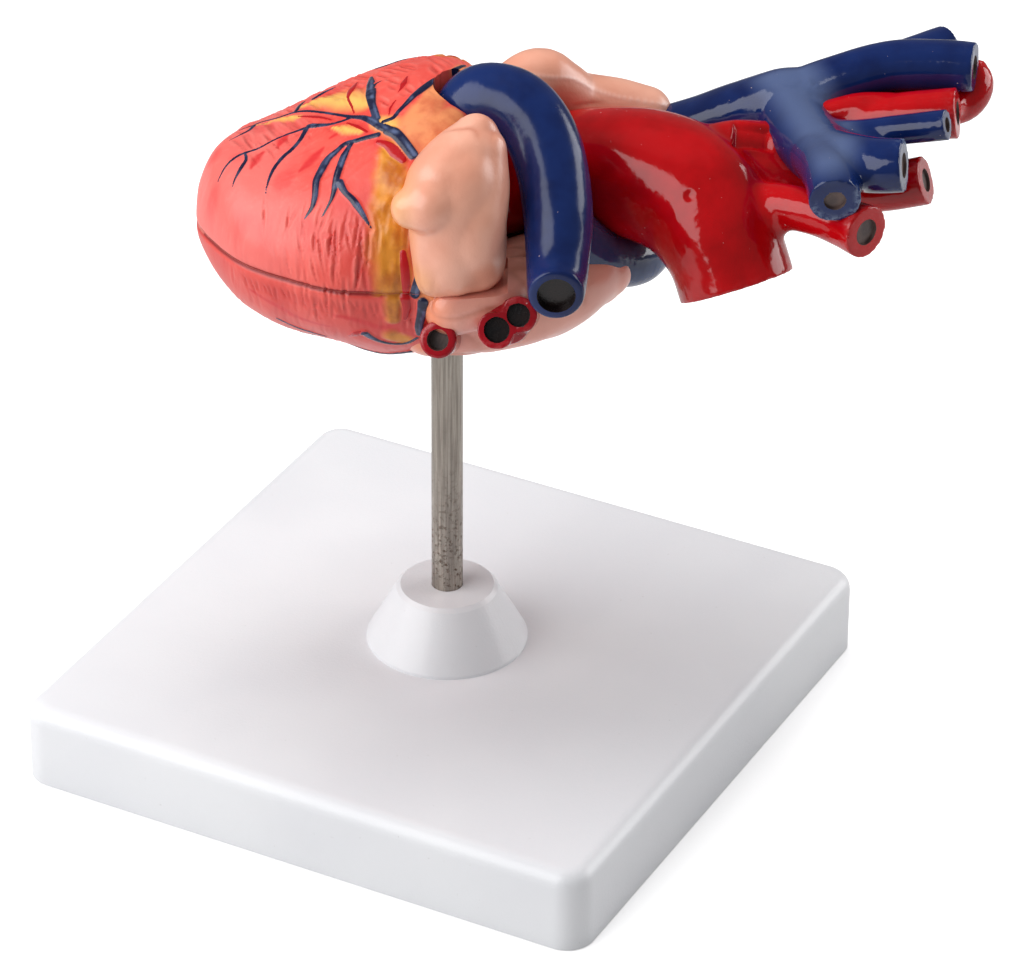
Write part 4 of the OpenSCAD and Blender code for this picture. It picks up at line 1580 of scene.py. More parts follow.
        # Painted shade: a deeper red on the near side towards the base, and just below the parting line on
        # the near side.
        painted_side_shade = 0.75 * ramp(p[:, 0], -36, -12) * ramp(angle, 126, 150) * ramp(angle, 250, 200)
        painted_side_shade = np.maximum(painted_side_shade, 0.7 * ramp(angle, 181, 187) * ramp(angle, 240, 205))
        painted_side_shade *= 1 + 0.5 * lumps.at(p + 15, (5.0, 5.0, 14.0))
        # Painted highlight: a paler pink over the upper side towards the apex.
        painted_apex_highlight = ramp(p[:, 0], -28, -46) * ramp(angle, 184, 176)

        height = 0.28 * lumps.at(p, 12.0) + 0.06 * folds.at(p, (3.0, 3.0, 9.0))
        height += fat_rich * (0.25 + 0.40 * folds.at(p, (1.7, 1.7, 7.0)) + 0.3 * lumps.at(p, 4.5)) * clear
        height += np.maximum(fat_pale, fleshy) * (0.25 + 0.25 * folds.at(p, (3.2, 3.2, 5.0))) * clear
        height += (0.32 * lip - 0.55 * deep) * (1 - 0.55 * np.maximum(fat, fleshy))
        height += 0.6 * self.crown(veins) + 0.45 * self.crown(arteries)
        # The parting line's V-groove, which also carries painted shade.
        parting = np.exp(-((p[:, 2] / 0.7) ** 2)) * (p[:, 0] < 8)
        height -= 0.7 * parting
        deep = np.maximum(0.75 * deep, parting)
        form.swell(height)
        values = {
            "blue": blue, "red": red * (blue < 0.3), "fat": fat, "painted_groove_shade": deep, "painted_ridge_highlight": lip,
            "seam": parting, "rich": ramp(rich[0] / rich[1], 2.4, 1.3), "blush": blush * (1 - fat),
            "flesh": fleshy, "flank": ramp(flank[0] / flank[1], 0.65, 0.3),
            "painted_side_shade": painted_side_shade.clip(0, 1), "painted_apex_highlight": painted_apex_highlight,
        }
        return form, values, form.points()

    def crown(self, found: tuple[np.ndarray, np.ndarray, np.ndarray]) -> np.ndarray:
        """Gives the round top of a vessel in relief.

        Args:
            found: The distance, half width and strength at each point.

        Returns:
            The height at each point, from 0 to about 1.
        """
        away, wide, _ = found
        return np.sqrt(np.clip(1 - (away / (wide * 1.25)) ** 2, 0, 1)) * np.minimum(wide * 1.1, 1)

    # -- what is cut out of the castings

    def magnet_pockets(self) -> Form:
        """Makes the pockets of the magnets in both castings."""
        x = -0.25 * self.shape.apex_x
        near, far = self.shape.sections(np.array([x]))[0][:2]
        places = (
            (self.shape.apex_wall / 2 - self.shape.apex_x, self.shape.middle_y),
            (x, self.shape.middle_y - near + self.shape.lv_wall / 2),
            (x, self.shape.middle_y + far - self.shape.rv_wall / 2),
        )
        form = Form("pockets")
        for px, py in places:
            form.disc(np.array([px, py, -self.magnet_h]), UP, self.magnet_d / 2 + self.magnet_play,
                      2 * self.magnet_h)
        return form

    def bay(self, low: float) -> Form:
        """Makes the upright bay round the root of the pulmonary trunk.

        Args:
            low: Its lowest height.

        Returns:
            The bay as a solid.
        """
        return Form("bay").disc(np.array([self.bay_x, 0, low]), UP, self.bay_r, self.reach)

    def hollow(self, base: float, seed: int) -> Form:
        """Makes the chambers' hollow with its muscle ridges.

        Args:
            base: Where its flat end lies.
            seed: The seed of its ridges.

        Returns:
            The hollow as a solid.
        """
        form = Form("hollow").skin(self.shape.hollow(base)).fuse(0.9, 2)
        p = form.points()
        ridges = Grain(seed)
        ripple = np.abs(ridges.at(p, (12.0, 4.0, 4.0))) + 0.6 * np.abs(ridges.at(p + 31, (7.0, 2.6, 2.6)))
        calm = ramp(p[:, 0], base - 1.5, base - 6)
        return form.swell((ripple - 1.3) * 0.8 * calm)

    def paint(self, form: Form, tree: KDTree, values: dict[str, np.ndarray]) -> None:
        """Carries the paint over to a cut casting and tells its faces apart.

        Args:
            form: The casting.
            tree: The whole skin's points.
            values: The paint's values at them.
        """
        points = form.points()
        found = [tree.find(p) for p in points]
        index = np.array([f[1] for f in found])
        on_skin = np.array([f[2] for f in found]) < self.voxel * 1.6
        for name, value in values.items():
            form.mark(name, np.where(on_skin, value[index], 0))
        centres, normals = form.face_data()
        inner = self.shape.share(centres) < 0.9
        flat = (np.abs(normals[:, 2]) > 0.99) & (np.abs(centres[:, 2]) < self.seam_gap)
        end = (np.abs(normals[:, 0]) > 0.99) & (np.abs(centres[:, 0] - self.front_end_x) < self.seam_gap)
        kind = np.where(inner, 1, 0)
        kind = np.where(flat | end, 2, kind)
        form.assign(kind)

    def build(self) -> None:
        """Builds both castings."""
        skin, values, points = self.skin()
        tree = tree_of(points)
        far, half = self.reach, self.seam_gap / 2
        materials = [self.paints.get(Muscle()), self.paints.get(LINING), self.paints.get(PARTING)]

        front = self.copy(skin, "front_wall_skin")
        end = self.front_end_x - self.end_gap
        front.join(Joining.KEEP, Form("space").block((-far, -far, half), (end, far, far)))
        front.join(Joining.CARVE, self.hollow(self.front_end_x + 1, 11))
        front.join(Joining.CARVE, self.bay(-1.0), self.magnet_pockets())
        self.paint(front, tree, values)
        front.done(self.frame, "front_cover", "ventricle_paint", materials, ["front_wall"])

        rear = self.copy(skin, "rear_ventricles_skin")
        rear.join(
            Joining.CARVE,
            Form("over").block((-far, -far, -half), (self.front_end_x - self.end_gap / 2, far, far)),
            Form("beside").block((-far, -far, -half), (far, self.block_near_y, far)),
            self.hollow(self.rear_base_x, 13),
            bush_bore(far),
            self.bay(self.bay_z),
            self.magnet_pockets(),
        )
        self.paint(rear, tree, values)
        rear.done(self.frame, "heart", "ventricle_paint", materials, ["rear_ventricles"])
        bpy.data.objects.remove(skin.obj)

    def copy(self, form: Form, name: str) -> Form:
        """Copies a form.

        Args:
            form: The form.
            name: The copy's name.

        Returns:
            The copy.
        """
        twin = Form(name)
        twin.bm.from_mesh(form.obj.data)
        return twin.set()


# ---------------------------------------------------------------- vessels


@dataclass(frozen=True)
class Vessel:
    """One vessel: rows of x, y, z and radius, and the hole in its far end."""

    rows: Rows
    lumen: float = 0.52
    depth: float = 0.8
    taper: float = 0.86
    open: bool = True

    def path(self) -> np.ndarray:
        """Gives the vessel's evenly spaced middle line."""
        return even(curve(self.rows, 8), 1.0)

    def end(self) -> tuple[np.ndarray, np.ndarray, float]:
        """Gives the far end's centre, direction and radius."""
        path = self.path()
        ahead = path[-1, :3] - path[-3, :3]
        return path[-1, :3], ahead / np.linalg.norm(ahead), float(path[-1, 3])


@dataclass
class Casting:
    """Vessels that were cast as one, with soft webs where they join."""

    name: str
    vessels: dict[str, Vessel]
    finish: Gloss
    slot: str
    voxel: float = 0.6
    web: float = 1.8
    extras: Sequence[Rows] = ()
    relief: Callable[[Form], None] | None = None
    # Where a painted sheen lies on the casting, if anywhere.
    painted_sheen: Callable[[np.ndarray, np.ndarray], np.ndarray] | None = None
    wear: float = 1.0
    rim_rounds: int = 18
    cap: float = 1.5

    def ends(self, points: np.ndarray) -> list[tuple[Vessel, np.ndarray, np.ndarray]]:
        """Measures where points lie from each open end.

        Args:
            points: The points.

        Returns:
            Each open vessel with the points' places along its axis and across it.
        """
        out = []
        for vessel in self.vessels.values():
            if vessel.open:
                centre, ahead, _ = vessel.end()
                away = points - centre
                along = away @ ahead
                out.append((vessel, along, np.linalg.norm(away - np.outer(along, ahead), axis=1)))
        return out

    def true(self, form: Form) -> None:
        """Brings the skin back to the vessels' own radii and end planes.

        Args:
            form: The casting.
        """
        p = form.points()
        rows = np.vstack([v.path() for v in self.vessels.values()])
        tree = tree_of(rows)
        gap = np.array([min(d - rows[i, 3] for _, i, d in tree.find_n(q, 6)) for q in p])
        lift = np.clip(-gap - 0.03, 0, 1.2)
        for vessel, along, across in self.ends(p):
            radius = vessel.end()[2]
            here = (across < radius + 3) & (along > -4)
            lift = np.where(here & (along > -1.6), 0, lift)
        form.swell(lift)
        p = form.points()
        for vessel, along, across in self.ends(p):
            centre, ahead, radius = vessel.end()
            here = (across < radius + 2.5) & (along > -3) & (along < 4)
            over = np.clip(along, 0, None)
            p = np.where(here[:, None], p - np.outer(over, ahead), p)
            squeeze = np.clip(across - radius, 0, None) * ramp(along, -3, -1)
            out = p - centre
            out -= np.outer(out @ ahead, ahead)
            out /= np.maximum(np.linalg.norm(out, axis=1, keepdims=True), 1e-6)
            p = np.where(here[:, None], p - out * squeeze[:, None], p)
        form.move(p)

    def near_end(self, points: np.ndarray) -> np.ndarray:
        """Says how near points lie to an open end, from 0 to 1."""
        near = np.zeros(len(points))
        for vessel, along, across in self.ends(points):
            inside = across < vessel.end()[2] + self.cap
            near = np.maximum(near, ramp(np.abs(along), 2.6, 1.2) * inside)
        return near

    def bore(self, form: Form) -> None:
        """Cuts the blind holes of the open ends and tells their faces apart.

        Args:
            form: The casting.
        """
        for vessel in self.vessels.values():
            if vessel.open:
                centre, ahead, radius = vessel.end()
                form.join(Joining.CARVE, Form("hole").disc(
                    centre + ahead * self.cap, -ahead, radius * vessel.lumen, vessel.depth + self.cap,
                    radius * vessel.lumen * vessel.taper))
        centres, _ = form.face_data()
        kind = np.zeros(len(centres), int)
        for vessel, along, across in self.ends(centres):
            deep = np.clip((self.cap - along) / (vessel.depth + self.cap), 0, 1)
            hole = vessel.end()[2] * vessel.lumen * (1 - (1 - vessel.taper) * deep)
            kind[(across < hole + 0.03) & (along > -vessel.depth - 1) & (along < 1)] = 1
        form.assign(kind)

    def weather(self, form: Form) -> None:
        """Marks where a painted sheen lies, and where the paint is worn off in patches round the open
        ends.

        Args:
            form: The casting.
        """
        p = form.points()
        worn = np.zeros(len(p))
        patches = Grain(61)
        form.mark("painted_sheen", self.painted_sheen(p, form.normals()) if self.painted_sheen else worn)
        for vessel, along, across in self.ends(p):
            radius = vessel.end()[2]
            band = np.exp(-(((across - radius * 0.9) / 1.1) ** 2) - ((along + 0.5) / 1.3) ** 2)
            worn = np.maximum(worn, band * ramp(patches.at(p, 5.0), -0.15, 0.35))
        form.mark("worn", worn * self.wear)

    def build(self, frame: HeartFrame, paints: Paints, stands_for: Sequence[str]) -> None:
        """Builds the casting.

        Args:
            frame: The heart's frame.
            paints: The finishes.
            stands_for: The frame's nodes that it replaces.
        """
        form = Form(f"{self.name}_skin")
        for vessel in self.vessels.values():
            form.tube(vessel.path() + np.array([0, 0, 0, self.web]), 40, self.web)
        for rows in self.extras:
            form.lobes(np.array(rows) + np.array([0, 0, 0, self.web]))
        form.fuse(self.voxel, 8)
        form.swell(-self.web)
        form.fuse(self.voxel, 2)
        self.true(form)
        form.soften(self.rim_rounds, self.near_end)
        form.soften(1)
        if self.relief:
            self.relief(form)
        self.bore(form)
        self.weather(form)
        materials = [paints.get(self.finish), paints.get(vessel_lumen(self.name))]
        form.done(frame, "heart", self.slot, materials, stands_for)


AORTA = Vessel(
    ((7, -1.5, 8.8, 10.5), (11, -0.5, 8.8, 11.6), (17, 5, 8.5, 13), (27, 9.5, 9, 14), (38, 8, 10, 15.5),
     (48.5, 4, 11, 16.4), (58, -1, 9.5, 16.8), (64, -7, 6, 16.2), (68, -13, -0.5, 14.6),
     (70.9, -17, -8.2, 14.4)),
    lumen=0.86, depth=3.0,
)
ARTERIES = {
    "aorta": AORTA,
    "brachiocephalic_artery": Vessel(
        ((60, 5, 16, 6.5), (70, 6, 18, 6.4), (80, 9, 16.5, 6.4), (90, 12, 17.5, 6.2),
         (98, 14, 21, 6)), open=False),
    "right_common_carotid_artery": Vessel(
        ((95, 12, 20, 5), (100, 10, 22, 5.6), (108, 8, 25, 5.9), (116, 6, 27, 6.1),
         (124.3, 4.6, 28.3, 6.3))),
    "right_subclavian_artery": Vessel(
        ((94, 13, 19, 4.8), (103, 15, 21.5, 5), (112, 16, 23, 5), (121, 17, 23.5, 5),
         (126.6, 18.4, 24.4, 5.2), (129.2, 21, 27.4, 5.1), (128.2, 24.6, 30, 4.6))),
    "left_common_carotid_artery": Vessel(
        ((62, 0, 14, 6.5), (72, 1, 13, 6.3), (82, 2, 11.5, 6), (93.5, 0, 9.5, 5.8),
         (105, -4, 12, 5.8), (116.5, -7, 16, 6.1))),
    "left_subclavian_artery": Vessel(
        ((66, -6, 8.5, 6.5), (73, -9, 9.5, 6.1), (80, -12, 11.5, 5.6), (89, -18, 13, 5.5),
         (96, -23, 12.9, 6), (101, -28.3, 13.3, 6.6)), lumen=0.55),
}
VEINS = {
    "superior_vena_cava": Vessel(
        ((30, 34, 2, 9.5), (42, 33, 3, 9.2), (52, 31, 5, 9.2), (62, 28, 9.5, 9.3),
         (73, 24, 16, 9.5), (84, 20, 22, 9.5), (90, 19, 24.5, 8)), open=False),
    "right_brachiocephalic_vein": Vessel(
        ((84, 20, 22.5, 7.5), (96.5, 20, 29, 6.6), (108.5, 20, 33, 6.3), (120.5, 18, 34.5, 6.3),
         (129, 16, 35, 6.2))),
    "right_external_jugular_vein": Vessel(
        ((103, 23, 28, 5), (110, 28.5, 28.4, 5.6), (118, 34, 28.7, 5.8), (124, 38, 29, 5.8))),
    "left_brachiocephalic_vein": Vessel(
        ((84, 20, 22, 8.5), (87, 8, 20.5, 8.4), (92, -4.5, 21, 8), (98, -13, 24, 7.2),
         (104, -18, 26, 6.8), (110, -19.8, 27, 6.6))),
    "left_subclavian_vein": Vessel(
        ((90, -3, 21, 7), (91.5, -12, 22.6, 6.7), (92.6, -22.5, 24, 6.5), (93, -30.5, 23, 6.4)),
        lumen=0.46),
    "inferior_thyroid_vein": Vessel(
        ((88, 7, 22, 4.5), (97, 1.5, 23.5, 4), (109, -3, 27.5, 3.7), (121, -6.5, 31, 3.9))),
}
TRUNK = Vessel(
    ((5, 0, 24, 8.2), (5.6, -0.5, 30.5, 8.7), (9.8, -2, 34.9, 8.7), (16.5, -5, 34.9, 8.7),
     (22, -10, 31, 8.9), (25.5, -18, 24.5, 8.8), (27, -27, 16.5, 8.4), (27, -34, 9, 7.7),
     (26.7, -40, 5.5, 7.2), (26.6, -45.5, 5, 6.8)),
    lumen=0.72, depth=2.5,
)
RIGHT_PULMONARY = Vessel(
    ((26, -16, 14, 7), (30, -12, 2, 8), (38, -5, -7, 7.2), (47, 5, -13, 6.6),
     (52, 20, -14, 6.6), (54, 38, -13, 6.8)), lumen=0.66)
LOWER_CAVA = Vessel(((22, 36, -4, 9), (12, 40, -14, 9), (4, 42, -23, 9), (-2, 43, -31, 9)), lumen=0.7)


def straight(start: Sequence[float], stop: Sequence[float], radius: float) -> Rows:
    """Gives the rows of a straight vessel.

    Args:
        start: Its first point.
        stop: Its last point.
        radius: Its radius.

    Returns:
        Three rows.
    """
    a, b = np.array(start, float), np.array(stop, float)
    return [[*(a + (b - a) * t), radius] for t in (0, 0.5, 1)]


LEFT_UPPER_VEINS = {
    "between": Vessel(straight((15.6, -28, -12.5), (15.05, -41.2, -4.9), 5.3), open=False),
    "outer": Vessel(straight((13, -28, -14), (12.5, -42, -6.5), 4.7), lumen=0.7, depth=2.2),
    "inner": Vessel(straight((18.5, -26, -11), (17.6, -41, -3), 4.6), lumen=0.66, depth=2.2),
}
LEFT_LOWER_VEIN = {
    "lower": Vessel(straight((0, -27, -17), (-1.7, -41, -10), 4.6), lumen=0.6, depth=3),
}
RIGHT_LUNG_VEINS = {
    "upper": Vessel(straight((26, 16, -19), (29, 33, -22), 4.5), lumen=0.6, depth=3),
    "lower": Vessel(straight((37, 18, -19), (41, 34, -22), 4.5), lumen=0.6, depth=3),
}


@dataclass
class GreatVessels:
    """All the vessels that leave the heart."""

    frame: HeartFrame
    paints: Paints
    photo: Photograph

    def dimple(self, form: Form) -> None:
        """Presses the arch's small dimple and the recess between two branch roots.

        Args:
            form: The arteries' casting.
        """
        p = form.points()
        seen = self.photo.pixels(p)
        facing = self.photo.facing(form.normals()) > 0.05
        shift = 0.10 * Grain(21).at(p, 9.0)
        spot = np.hypot(seen[:, 0] - 689, seen[:, 1] - 196)
        near = facing & (spot < 30)
        near &= seen[:, 2] < np.min(seen[near, 2]) + 8
        shift -= 0.42 * np.exp(-((spot / 4.6) ** 2)) * near
        across, down = (seen[:, 0] - 753) / 19, (seen[:, 1] - 137 - (seen[:, 0] - 753) * 0.15) / 12
        here = facing & (np.abs(across) < 1.4) & (np.abs(down) < 1.4)
        here &= seen[:, 2] < np.min(seen[here, 2]) + 14
        shift -= 1.5 * ramp(np.abs(across), 1.15, 0.8) * ramp(np.abs(down), 1.15, 0.8) * here
        form.swell(shift)

    def sheen(self, points: np.ndarray, normals: np.ndarray) -> np.ndarray:
        """Says where a painted sheen lies on the broad flank of the upper vena cava.

        Args:
            points: The casting's points.
            normals: The normals there.

        Returns:
            The painted sheen at each point, from 0 to 1.
        """
        facing = ramp(self.photo.facing(normals), 0.15, 0.6)
        line = ((778, 66), (798, 88), (812, 110), (822, 128), (828, 146))
        return facing * ramp(self.photo.off_line(points, line), 44, 12)

    def lumps(self, form: Form) -> None:
        """Gives hand-finished paint its slight unevenness.

        Args:
            form: A casting.
        """
        form.swell(0.12 * Grain(23).at(form.points(), 8.0))

    def build(self) -> None:
        """Builds every casting of vessels."""
        flat = ((94, 11, 24, 4.0), (101, 10.5, 26, 4.2), (108, 9.5, 27, 4.0))
        castings = (
            Casting("aorta_and_branches", ARTERIES, ARTERY, "artery_paint", extras=(flat,),
                    relief=self.dimple, wear=0.25),
            Casting("veins_to_the_heart", VEINS, VEIN, "vein_paint", relief=self.lumps, painted_sheen=self.sheen),
            Casting("pulmonary_trunk", {"pulmonary_trunk": TRUNK}, TRUNK_BLUE, "vein_paint", 0.5, 0.5,
                    relief=self.lumps, wear=0.0),
            Casting("right_pulmonary_artery", {"right_pulmonary_artery": RIGHT_PULMONARY}, PALE_VEIN,
                    "pale_vein_paint", web=0.5, relief=self.lumps),
            Casting("inferior_vena_cava", {"inferior_vena_cava": LOWER_CAVA}, VEIN, "vein_paint",
                    web=0.5, relief=self.lumps),
        )
        for casting in castings:
            casting.build(self.frame, self.paints, list(casting.vessels))
        for name, vessels, web, wear in (
            ("left_superior_pulmonary_veins", LEFT_UPPER_VEINS, 1.2, 0.4),
            ("left_inferior_pulmonary_vein", LEFT_LOWER_VEIN, 0.4, 1.0),
            ("right_pulmonary_veins", RIGHT_LUNG_VEINS, 0.4, 1.0),
        ):
            Casting(name, vessels, LUNG_VEIN, "lung_vein_paint", 0.4, web, wear=wear).build(
                self.frame, self.paints, [name])


# ---------------------------------------------------------------- atria


@dataclass
class Atria:
    """The two atria and the left auricle, in soft flesh tones."""

    frame: HeartFrame
    paints: Paints
    shape: VentricleShape
    photo: Photograph
    left_lobes: tuple[Rows, ...] = (
        ((-3, -22, -15, 9.5), (6, -22, -12, 11.5), (17, -18, -10, 13), (28, -11, -9.5, 12.5),
         (37, -4, -10, 9)),
        ((2, -33, -5, 7.5), (10, -31, -4, 7.5), (17, -26, -3, 7)),
        ((4, 4, -20, 14), (22, 6, -19, 16), (34, 14, -19, 12)),
    )
    right_lobes: tuple[Rows, ...] = (
        ((14, 20, 25.5, 6), (22.5, 24, 27.3, 7.4), (27.5, 26, 23.4, 7.2), (32, 28, 18.4, 7.6),
         (42, 31, 15.2, 7.6), (48.8, 32, 13.2, 7)),
        ((18, 34, 12, 12), (24, 35, 3, 16), (20, 36, -6, 13)),
        ((24, 34, 10, 13), (36, 33, 8, 10)),
        ((17, 40, 2, 11.5), (22, 42, -4, 10)),
    )
    auricle_lobes: tuple[Rows, ...] = (
        ((7.5, -24, 37, 5), (4, -28, 33, 7.5), (-1, -33, 27, 8.5), (-3.5, -37, 25, 7)),
        ((9, -27, 34, 5.5), (8, -31, 26, 7), (6, -34, 17, 8.5), (6, -29.5, 6, 8.5)),
        ((-1, -33, 22, 7.5), (0, -33, 14, 8), (2, -29, 6, 8)),
        ((6, -28, 34, 6.5), (4, -31, 29, 8.8), (1.5, -33, 22, 9.4), (2, -33, 14, 9.2), (2, -32, 7, 8.6)),
        ((-0.5, -33, 12, 7.6), (-1.6, -33.4, 4.2, 6.0)),
    )
    auricle_tip: tuple[float, float, float] = (-7.8, -37.5, 24.2)
    tip_r: float = 4.6
    plump: float = 0.45
    reach: float = 80.0
    wall_end: float = 4.85
    parting: float = 0.15
    auricle_room: tuple[float, float] = (15, -23)
    back_corner: tuple[float, float, float] = (4, -23.3, -1)
    ridge_line: Rows = ((524, 73), (548, 77), (574, 79), (596, 90), (624, 98), (662, 104))
    ridge_half: float = 2.4
    ridge_height: float = 0.15

    def folds(self, form: Form, seed: int, depth: float, wave: Sequence[float]) -> np.ndarray:
        """Presses soft folds into a form.

        Args:
            form: The form.
            seed: The folds' seed.
            depth: Their depth.
            wave: Their size along each axis.

        Returns:
            How deep each point lies, from 0 to 1.
        """
        p = form.points()
        noise = Grain(seed)
        line = 1 - np.abs(noise.at(p, wave)) * 3
        crease = np.clip(line, 0, 1) ** 2 * ramp(noise.at(p + 50, 14.0), 0.0, 0.5)
        form.swell(0.35 * noise.at(p + 20, 9.0) - depth * crease)
        return crease

    def build_left(self) -> None:
        """Builds the left atrium."""
        far = self.reach
        form = Form("left_atrium_skin")
        for rows in self.left_lobes:
            form.lobes(rows)
        form.fuse(0.6, 16)
        crease = self.folds(form, 31, 0.5, (14, 5, 9))
        p = form.points()
        # The creases' depth also paints shade into them.
        form.mark("painted_crease_shade", crease)
        form.mark("tint", ramp(p[:, 0], 4, -6) * ramp(p[:, 1], -22, -34) * 0.9)
        form.join(
            Joining.CARVE,
            Form("ventricles").skin(self.shape.outer(96)),
            bush_bore(far),
            Form("auricle_space").block((-far, -far, -self.parting), (*self.auricle_room, far)),
        )
        form.done(self.frame, "heart", "atrium_paint", [self.paints.get(LOWER_ATRIUM)], ["left_atrium"])

    def build_right(self) -> None:
        """Builds the right atrium with its auricle."""
        form = Form("right_atrium_skin")
        for rows in self.right_lobes:
            form.lobes(rows)
        form.fuse(0.5, 20)
        crease = self.folds(form, 37, 0.4, (16, 6, 6))
        # The creases' depth also paints shade into them.
        form.mark("painted_crease_shade", crease)
        p = form.points()
        # A thin raised bead along the upper edge, where the side towards the camera also carries a painted
        # highlight.
        bead = np.exp(-((self.photo.off_line(p, self.ridge_line) / self.ridge_half) ** 2))
        bead *= ramp(self.photo.facing(form.normals()), 0.0, 0.2)
        form.swell(self.ridge_height * bead)
        form.mark("painted_ridge_highlight", bead)
        form.mark("tint", ramp(p[:, 0], 16, 4) * 0.4)
        form.join(Joining.CARVE, Form("ventricles").skin(self.shape.outer(96)))
        form.done(self.frame, "heart", "atrium_paint", [self.paints.get(ATRIUM)], ["right_atrium"])

    def build_auricle(self) -> None:
        """Builds the left auricle, which lifts with the front wall."""
        form = Form("left_auricle_skin")
        for rows in self.auricle_lobes:
            form.lobes(rows)
        form.ball(self.auricle_tip, self.tip_r)
        form.fuse(0.5, 40)
        form.swell(self.plump)
        crease = self.folds(form, 41, 0.25, (5, 5, 16))
        # The creases' depth also paints shade into them.
        form.mark("painted_crease_shade", crease)
        p = form.points()
        form.mark("tint", 0.4 * ramp(p[:, 0], -5, -12) + 0.4 * ramp(p[:, 2], 12, 4) * ramp(p[:, 0], 0, -7))
        far = self.reach
        wall = Form("wall").skin(self.shape.outer(96))
        wall.join(Joining.CARVE, Form("beyond").block((self.wall_end, -far, -far), (far, far, far)))
        form.join(
            Joining.CARVE,
            Form("under").block((-far, -far, -far), (far, far, self.parting)),
            Form("behind").block(self.back_corner, (far, far, far)),
            wall,
        )
        form.done(self.frame, "front_cover", "atrium_paint", [self.paints.get(ATRIUM)], ["left_auricle"])

    def build(self) -> None:
        """Builds the atria."""
        self.build_left()
        self.build_right()
        self.build_auricle()


# ---------------------------------------------------------------- stand and carried pieces


@dataclass
class Stand:
    """The white base."""

    paints: Paints
    side: float = 0.160
    height: float = 0.022
    corner: float = 0.0075
    edge: float = 0.0045
    wall: float = 0.003
    seat_z: float = 0.015
    seat_r: float = 0.0081

    def build(self) -> None:
        """Builds the hollow base with its rounded corners and edge."""
        form = Form("base_shell_skin")
        half = self.side / 2
        form.block((-half, -half, 0), (half, half, self.height))
        upright = [e for e in form.bm.edges if abs(e.verts[0].co.z - e.verts[1].co.z) > 0.01]
        self.round(form, upright, self.corner, 12)
        rim = [
            e for e in form.bm.edges
            if all(v.co.z > self.height - 1e-5 for v in e.verts) and len(e.link_faces) == 2
            and any(abs(f.normal.z) < 0.5 for f in e.link_faces)
        ]
        self.round(form, rim, self.edge, 8)
        form.set()
        deep = self.height - self.wall
        inner = half - self.wall
        form.join(Joining.CARVE, Form("hollow").block((-inner, -inner, -0.01), (inner, inner, deep)))
        seat = Form("seat").disc(np.array([0, 0, self.seat_z]), UP, self.seat_r, 0.02)
        form.join(Joining.CARVE, seat)
        form.done(None, "stand", "base_plastic", [self.paints.get(Moulded())], ["base_shell"], 30)

    def round(self, form: Form, edges: list[Any], size: float, steps: int) -> None:
        """Rounds edges.

        Args:
            form: The form.
            edges: The edges.
            size: The radius.
            steps: The number of steps round it.
        """
        bmesh.ops.bevel(
            form.bm, geom=edges, offset=size, offset_type="OFFSET", segments=steps,
            profile=0.5, affect="EDGES", material=-1, clamp_overlap=True,
        )

FINISH_OF_NODE: dict[str, Any] = {
    "base_underplate": UNDERPLATE,
    "underplate_screws": FASTENER,
    "stand_cone": Moulded(),
    "support_rod": RustedRod(),
    "rod_screw": FASTENER,
    "rod_washer": FASTENER,
    "rod_bush": BUSH,
    "rear_septum": LINING,
    "front_septum": LINING,
    "left_papillary_muscles": LINING,
    "right_papillary_muscles": LINING,
    "mitral_valve": VALVE,
    "tricuspid_valve": VALVE,
    "aortic_valve": VALVE,
    "pulmonary_valve": VALVE,
    "body_magnets": NICKEL,
    "cover_magnets": NICKEL,
}


def finish_carried(nodes: dict[str, bpy.types.Object], paints: Paints) -> None:
    """Gives each carried piece its finish.

    Args:
        nodes: The frame's pieces.
        paints: The finishes.
    """
    for name, finish in FINISH_OF_NODE.items():
        mesh = nodes[name].data
        mesh.materials.clear()
        mesh.materials.append(paints.get(finish))
        LOG.info("%s: finished with %s", name, finish.name)


# ---------------------------------------------------------------- studio


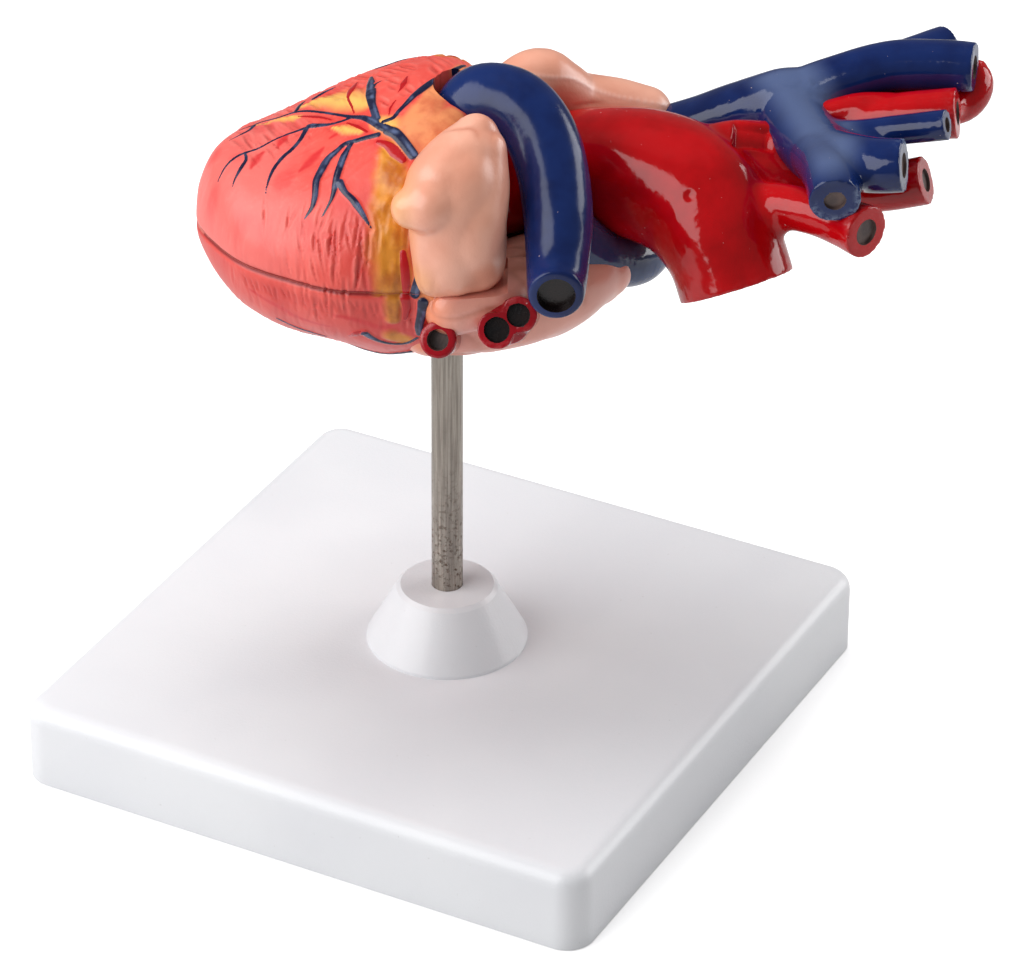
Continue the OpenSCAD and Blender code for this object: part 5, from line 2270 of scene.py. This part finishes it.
@dataclass
class Studio:
    """A pale floor, large soft lamps and a dim even world behind a white backdrop."""

    frame: HeartFrame
    world: float = 0.21
    glow: float = 0.42
    bounce: float = 0.72

    def light_world(self) -> None:
        """Sets the world: white to the camera, dim as a light."""
        world = bpy.data.worlds.new("studio")
        g = Graph("studio", world)
        soft = g.node("ShaderNodeBackground", {}, {"Strength": self.world})(0)
        white = g.node("ShaderNodeBackground", {}, {"Color": (1, 1, 1, 1)})(0)
        seen = g.node("ShaderNodeLightPath")("Is Camera Ray")
        mixed = g.node("ShaderNodeMixShader", {}, {0: seen, 1: soft, 2: white})(0)
        g.node("ShaderNodeOutputWorld", {}, {0: mixed})
        bpy.context.scene.world = world

    def lamp(self, name: str, place: Sequence[float], size: tuple[float, float],
             bright: float, shines: bool = True,
             aim: Sequence[float] = (0.03, 0, 0.14)) -> None:
        """Hangs a soft lamp.

        Args:
            name: Its name.
            place: Where it hangs, seen from the camera's side.
            size: Its width and height.
            bright: How bright its face is: 1 is white.
            shines: Whether gloss mirrors it.
            aim: The point that it faces.
        """
        data = bpy.data.lights.new(name, "AREA")
        data.shape = "RECTANGLE"
        data.size, data.size_y = size
        data.energy = bright * math.pi * size[0] * size[1]
        turn = Matrix.Rotation(math.radians(self.frame.yaw), 3, "Z")
        spot, target = turn @ Vector(place), turn @ Vector(aim)
        lamp = bpy.data.objects.new(name, data)
        facing = (target - spot).to_track_quat("-Z", "Y").to_matrix().to_4x4()
        lamp.matrix_world = Matrix.Translation(spot) @ facing
        lamp.visible_glossy = shines
        bpy.context.scene.collection.objects.link(lamp)

    def floor(self) -> None:
        """Lays the pale floor."""
        bm = bmesh.new()
        bmesh.ops.create_grid(bm, x_segments=1, y_segments=1, size=6)
        mesh = bpy.data.meshes.new("floor")
        bm.to_mesh(mesh)
        bm.free()
        floor = bpy.data.objects.new("floor", mesh)
        floor.location.z = -0.0002
        bpy.context.scene.collection.objects.link(floor)
        g = Graph("floor")
        path = g.node("ShaderNodeLightPath")
        pale = g.node("ShaderNodeBsdfDiffuse", {}, {"Color": (0.93, 0.93, 0.935, 1)})("BSDF")
        glow = g.node("ShaderNodeEmission", {}, {"Strength": self.glow})("Emission")
        lit = g.node("ShaderNodeAddShader", {}, {0: pale, 1: glow})(0)
        grey = (self.bounce, self.bounce, self.bounce, 1)
        dim = g.node("ShaderNodeBsdfDiffuse", {}, {"Color": grey})("BSDF")
        mixed = g.node("ShaderNodeMixShader", {}, {0: path("Is Camera Ray"), 1: dim, 2: lit})(0)
        g.node("ShaderNodeOutputMaterial", {}, {"Surface": mixed})
        mesh.materials.append(g.material)

    def build(self) -> None:
        """Sets the whole studio."""
        bpy.context.scene.view_settings.view_transform = "Standard"
        self.light_world()
        self.floor()
        self.lamp("left", (-0.72, -0.34, 0.58), (1.15, 0.85), 2.9)
        self.lamp("right", (0.85, 0.28, 0.36), (0.75, 0.5), 3.6)
        self.lamp("top", (-0.12, 0.26, 1.15), (0.9, 0.7), 3.8, False)


# ---------------------------------------------------------------- assembly


def main() -> None:
    """Builds the model round its frame."""
    logging.basicConfig(level=logging.INFO, format="%(relativeCreated)d ms %(name)s: %(message)s")
    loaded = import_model()
    frame = HeartFrame(seam=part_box("body_magnets")[1].z)
    photo = Photograph(frame)
    photo.take()
    paints = Paints()
    Stand(paints).build()
    ventricles = Ventricles(frame, photo, paints)
    ventricles.build()
    Atria(frame, paints, ventricles.shape, photo).build()
    GreatVessels(frame, paints, photo).build()
    finish_carried(loaded["nodes"], paints)
    Studio(frame).build()


if __name__ == "__main__":
    main()
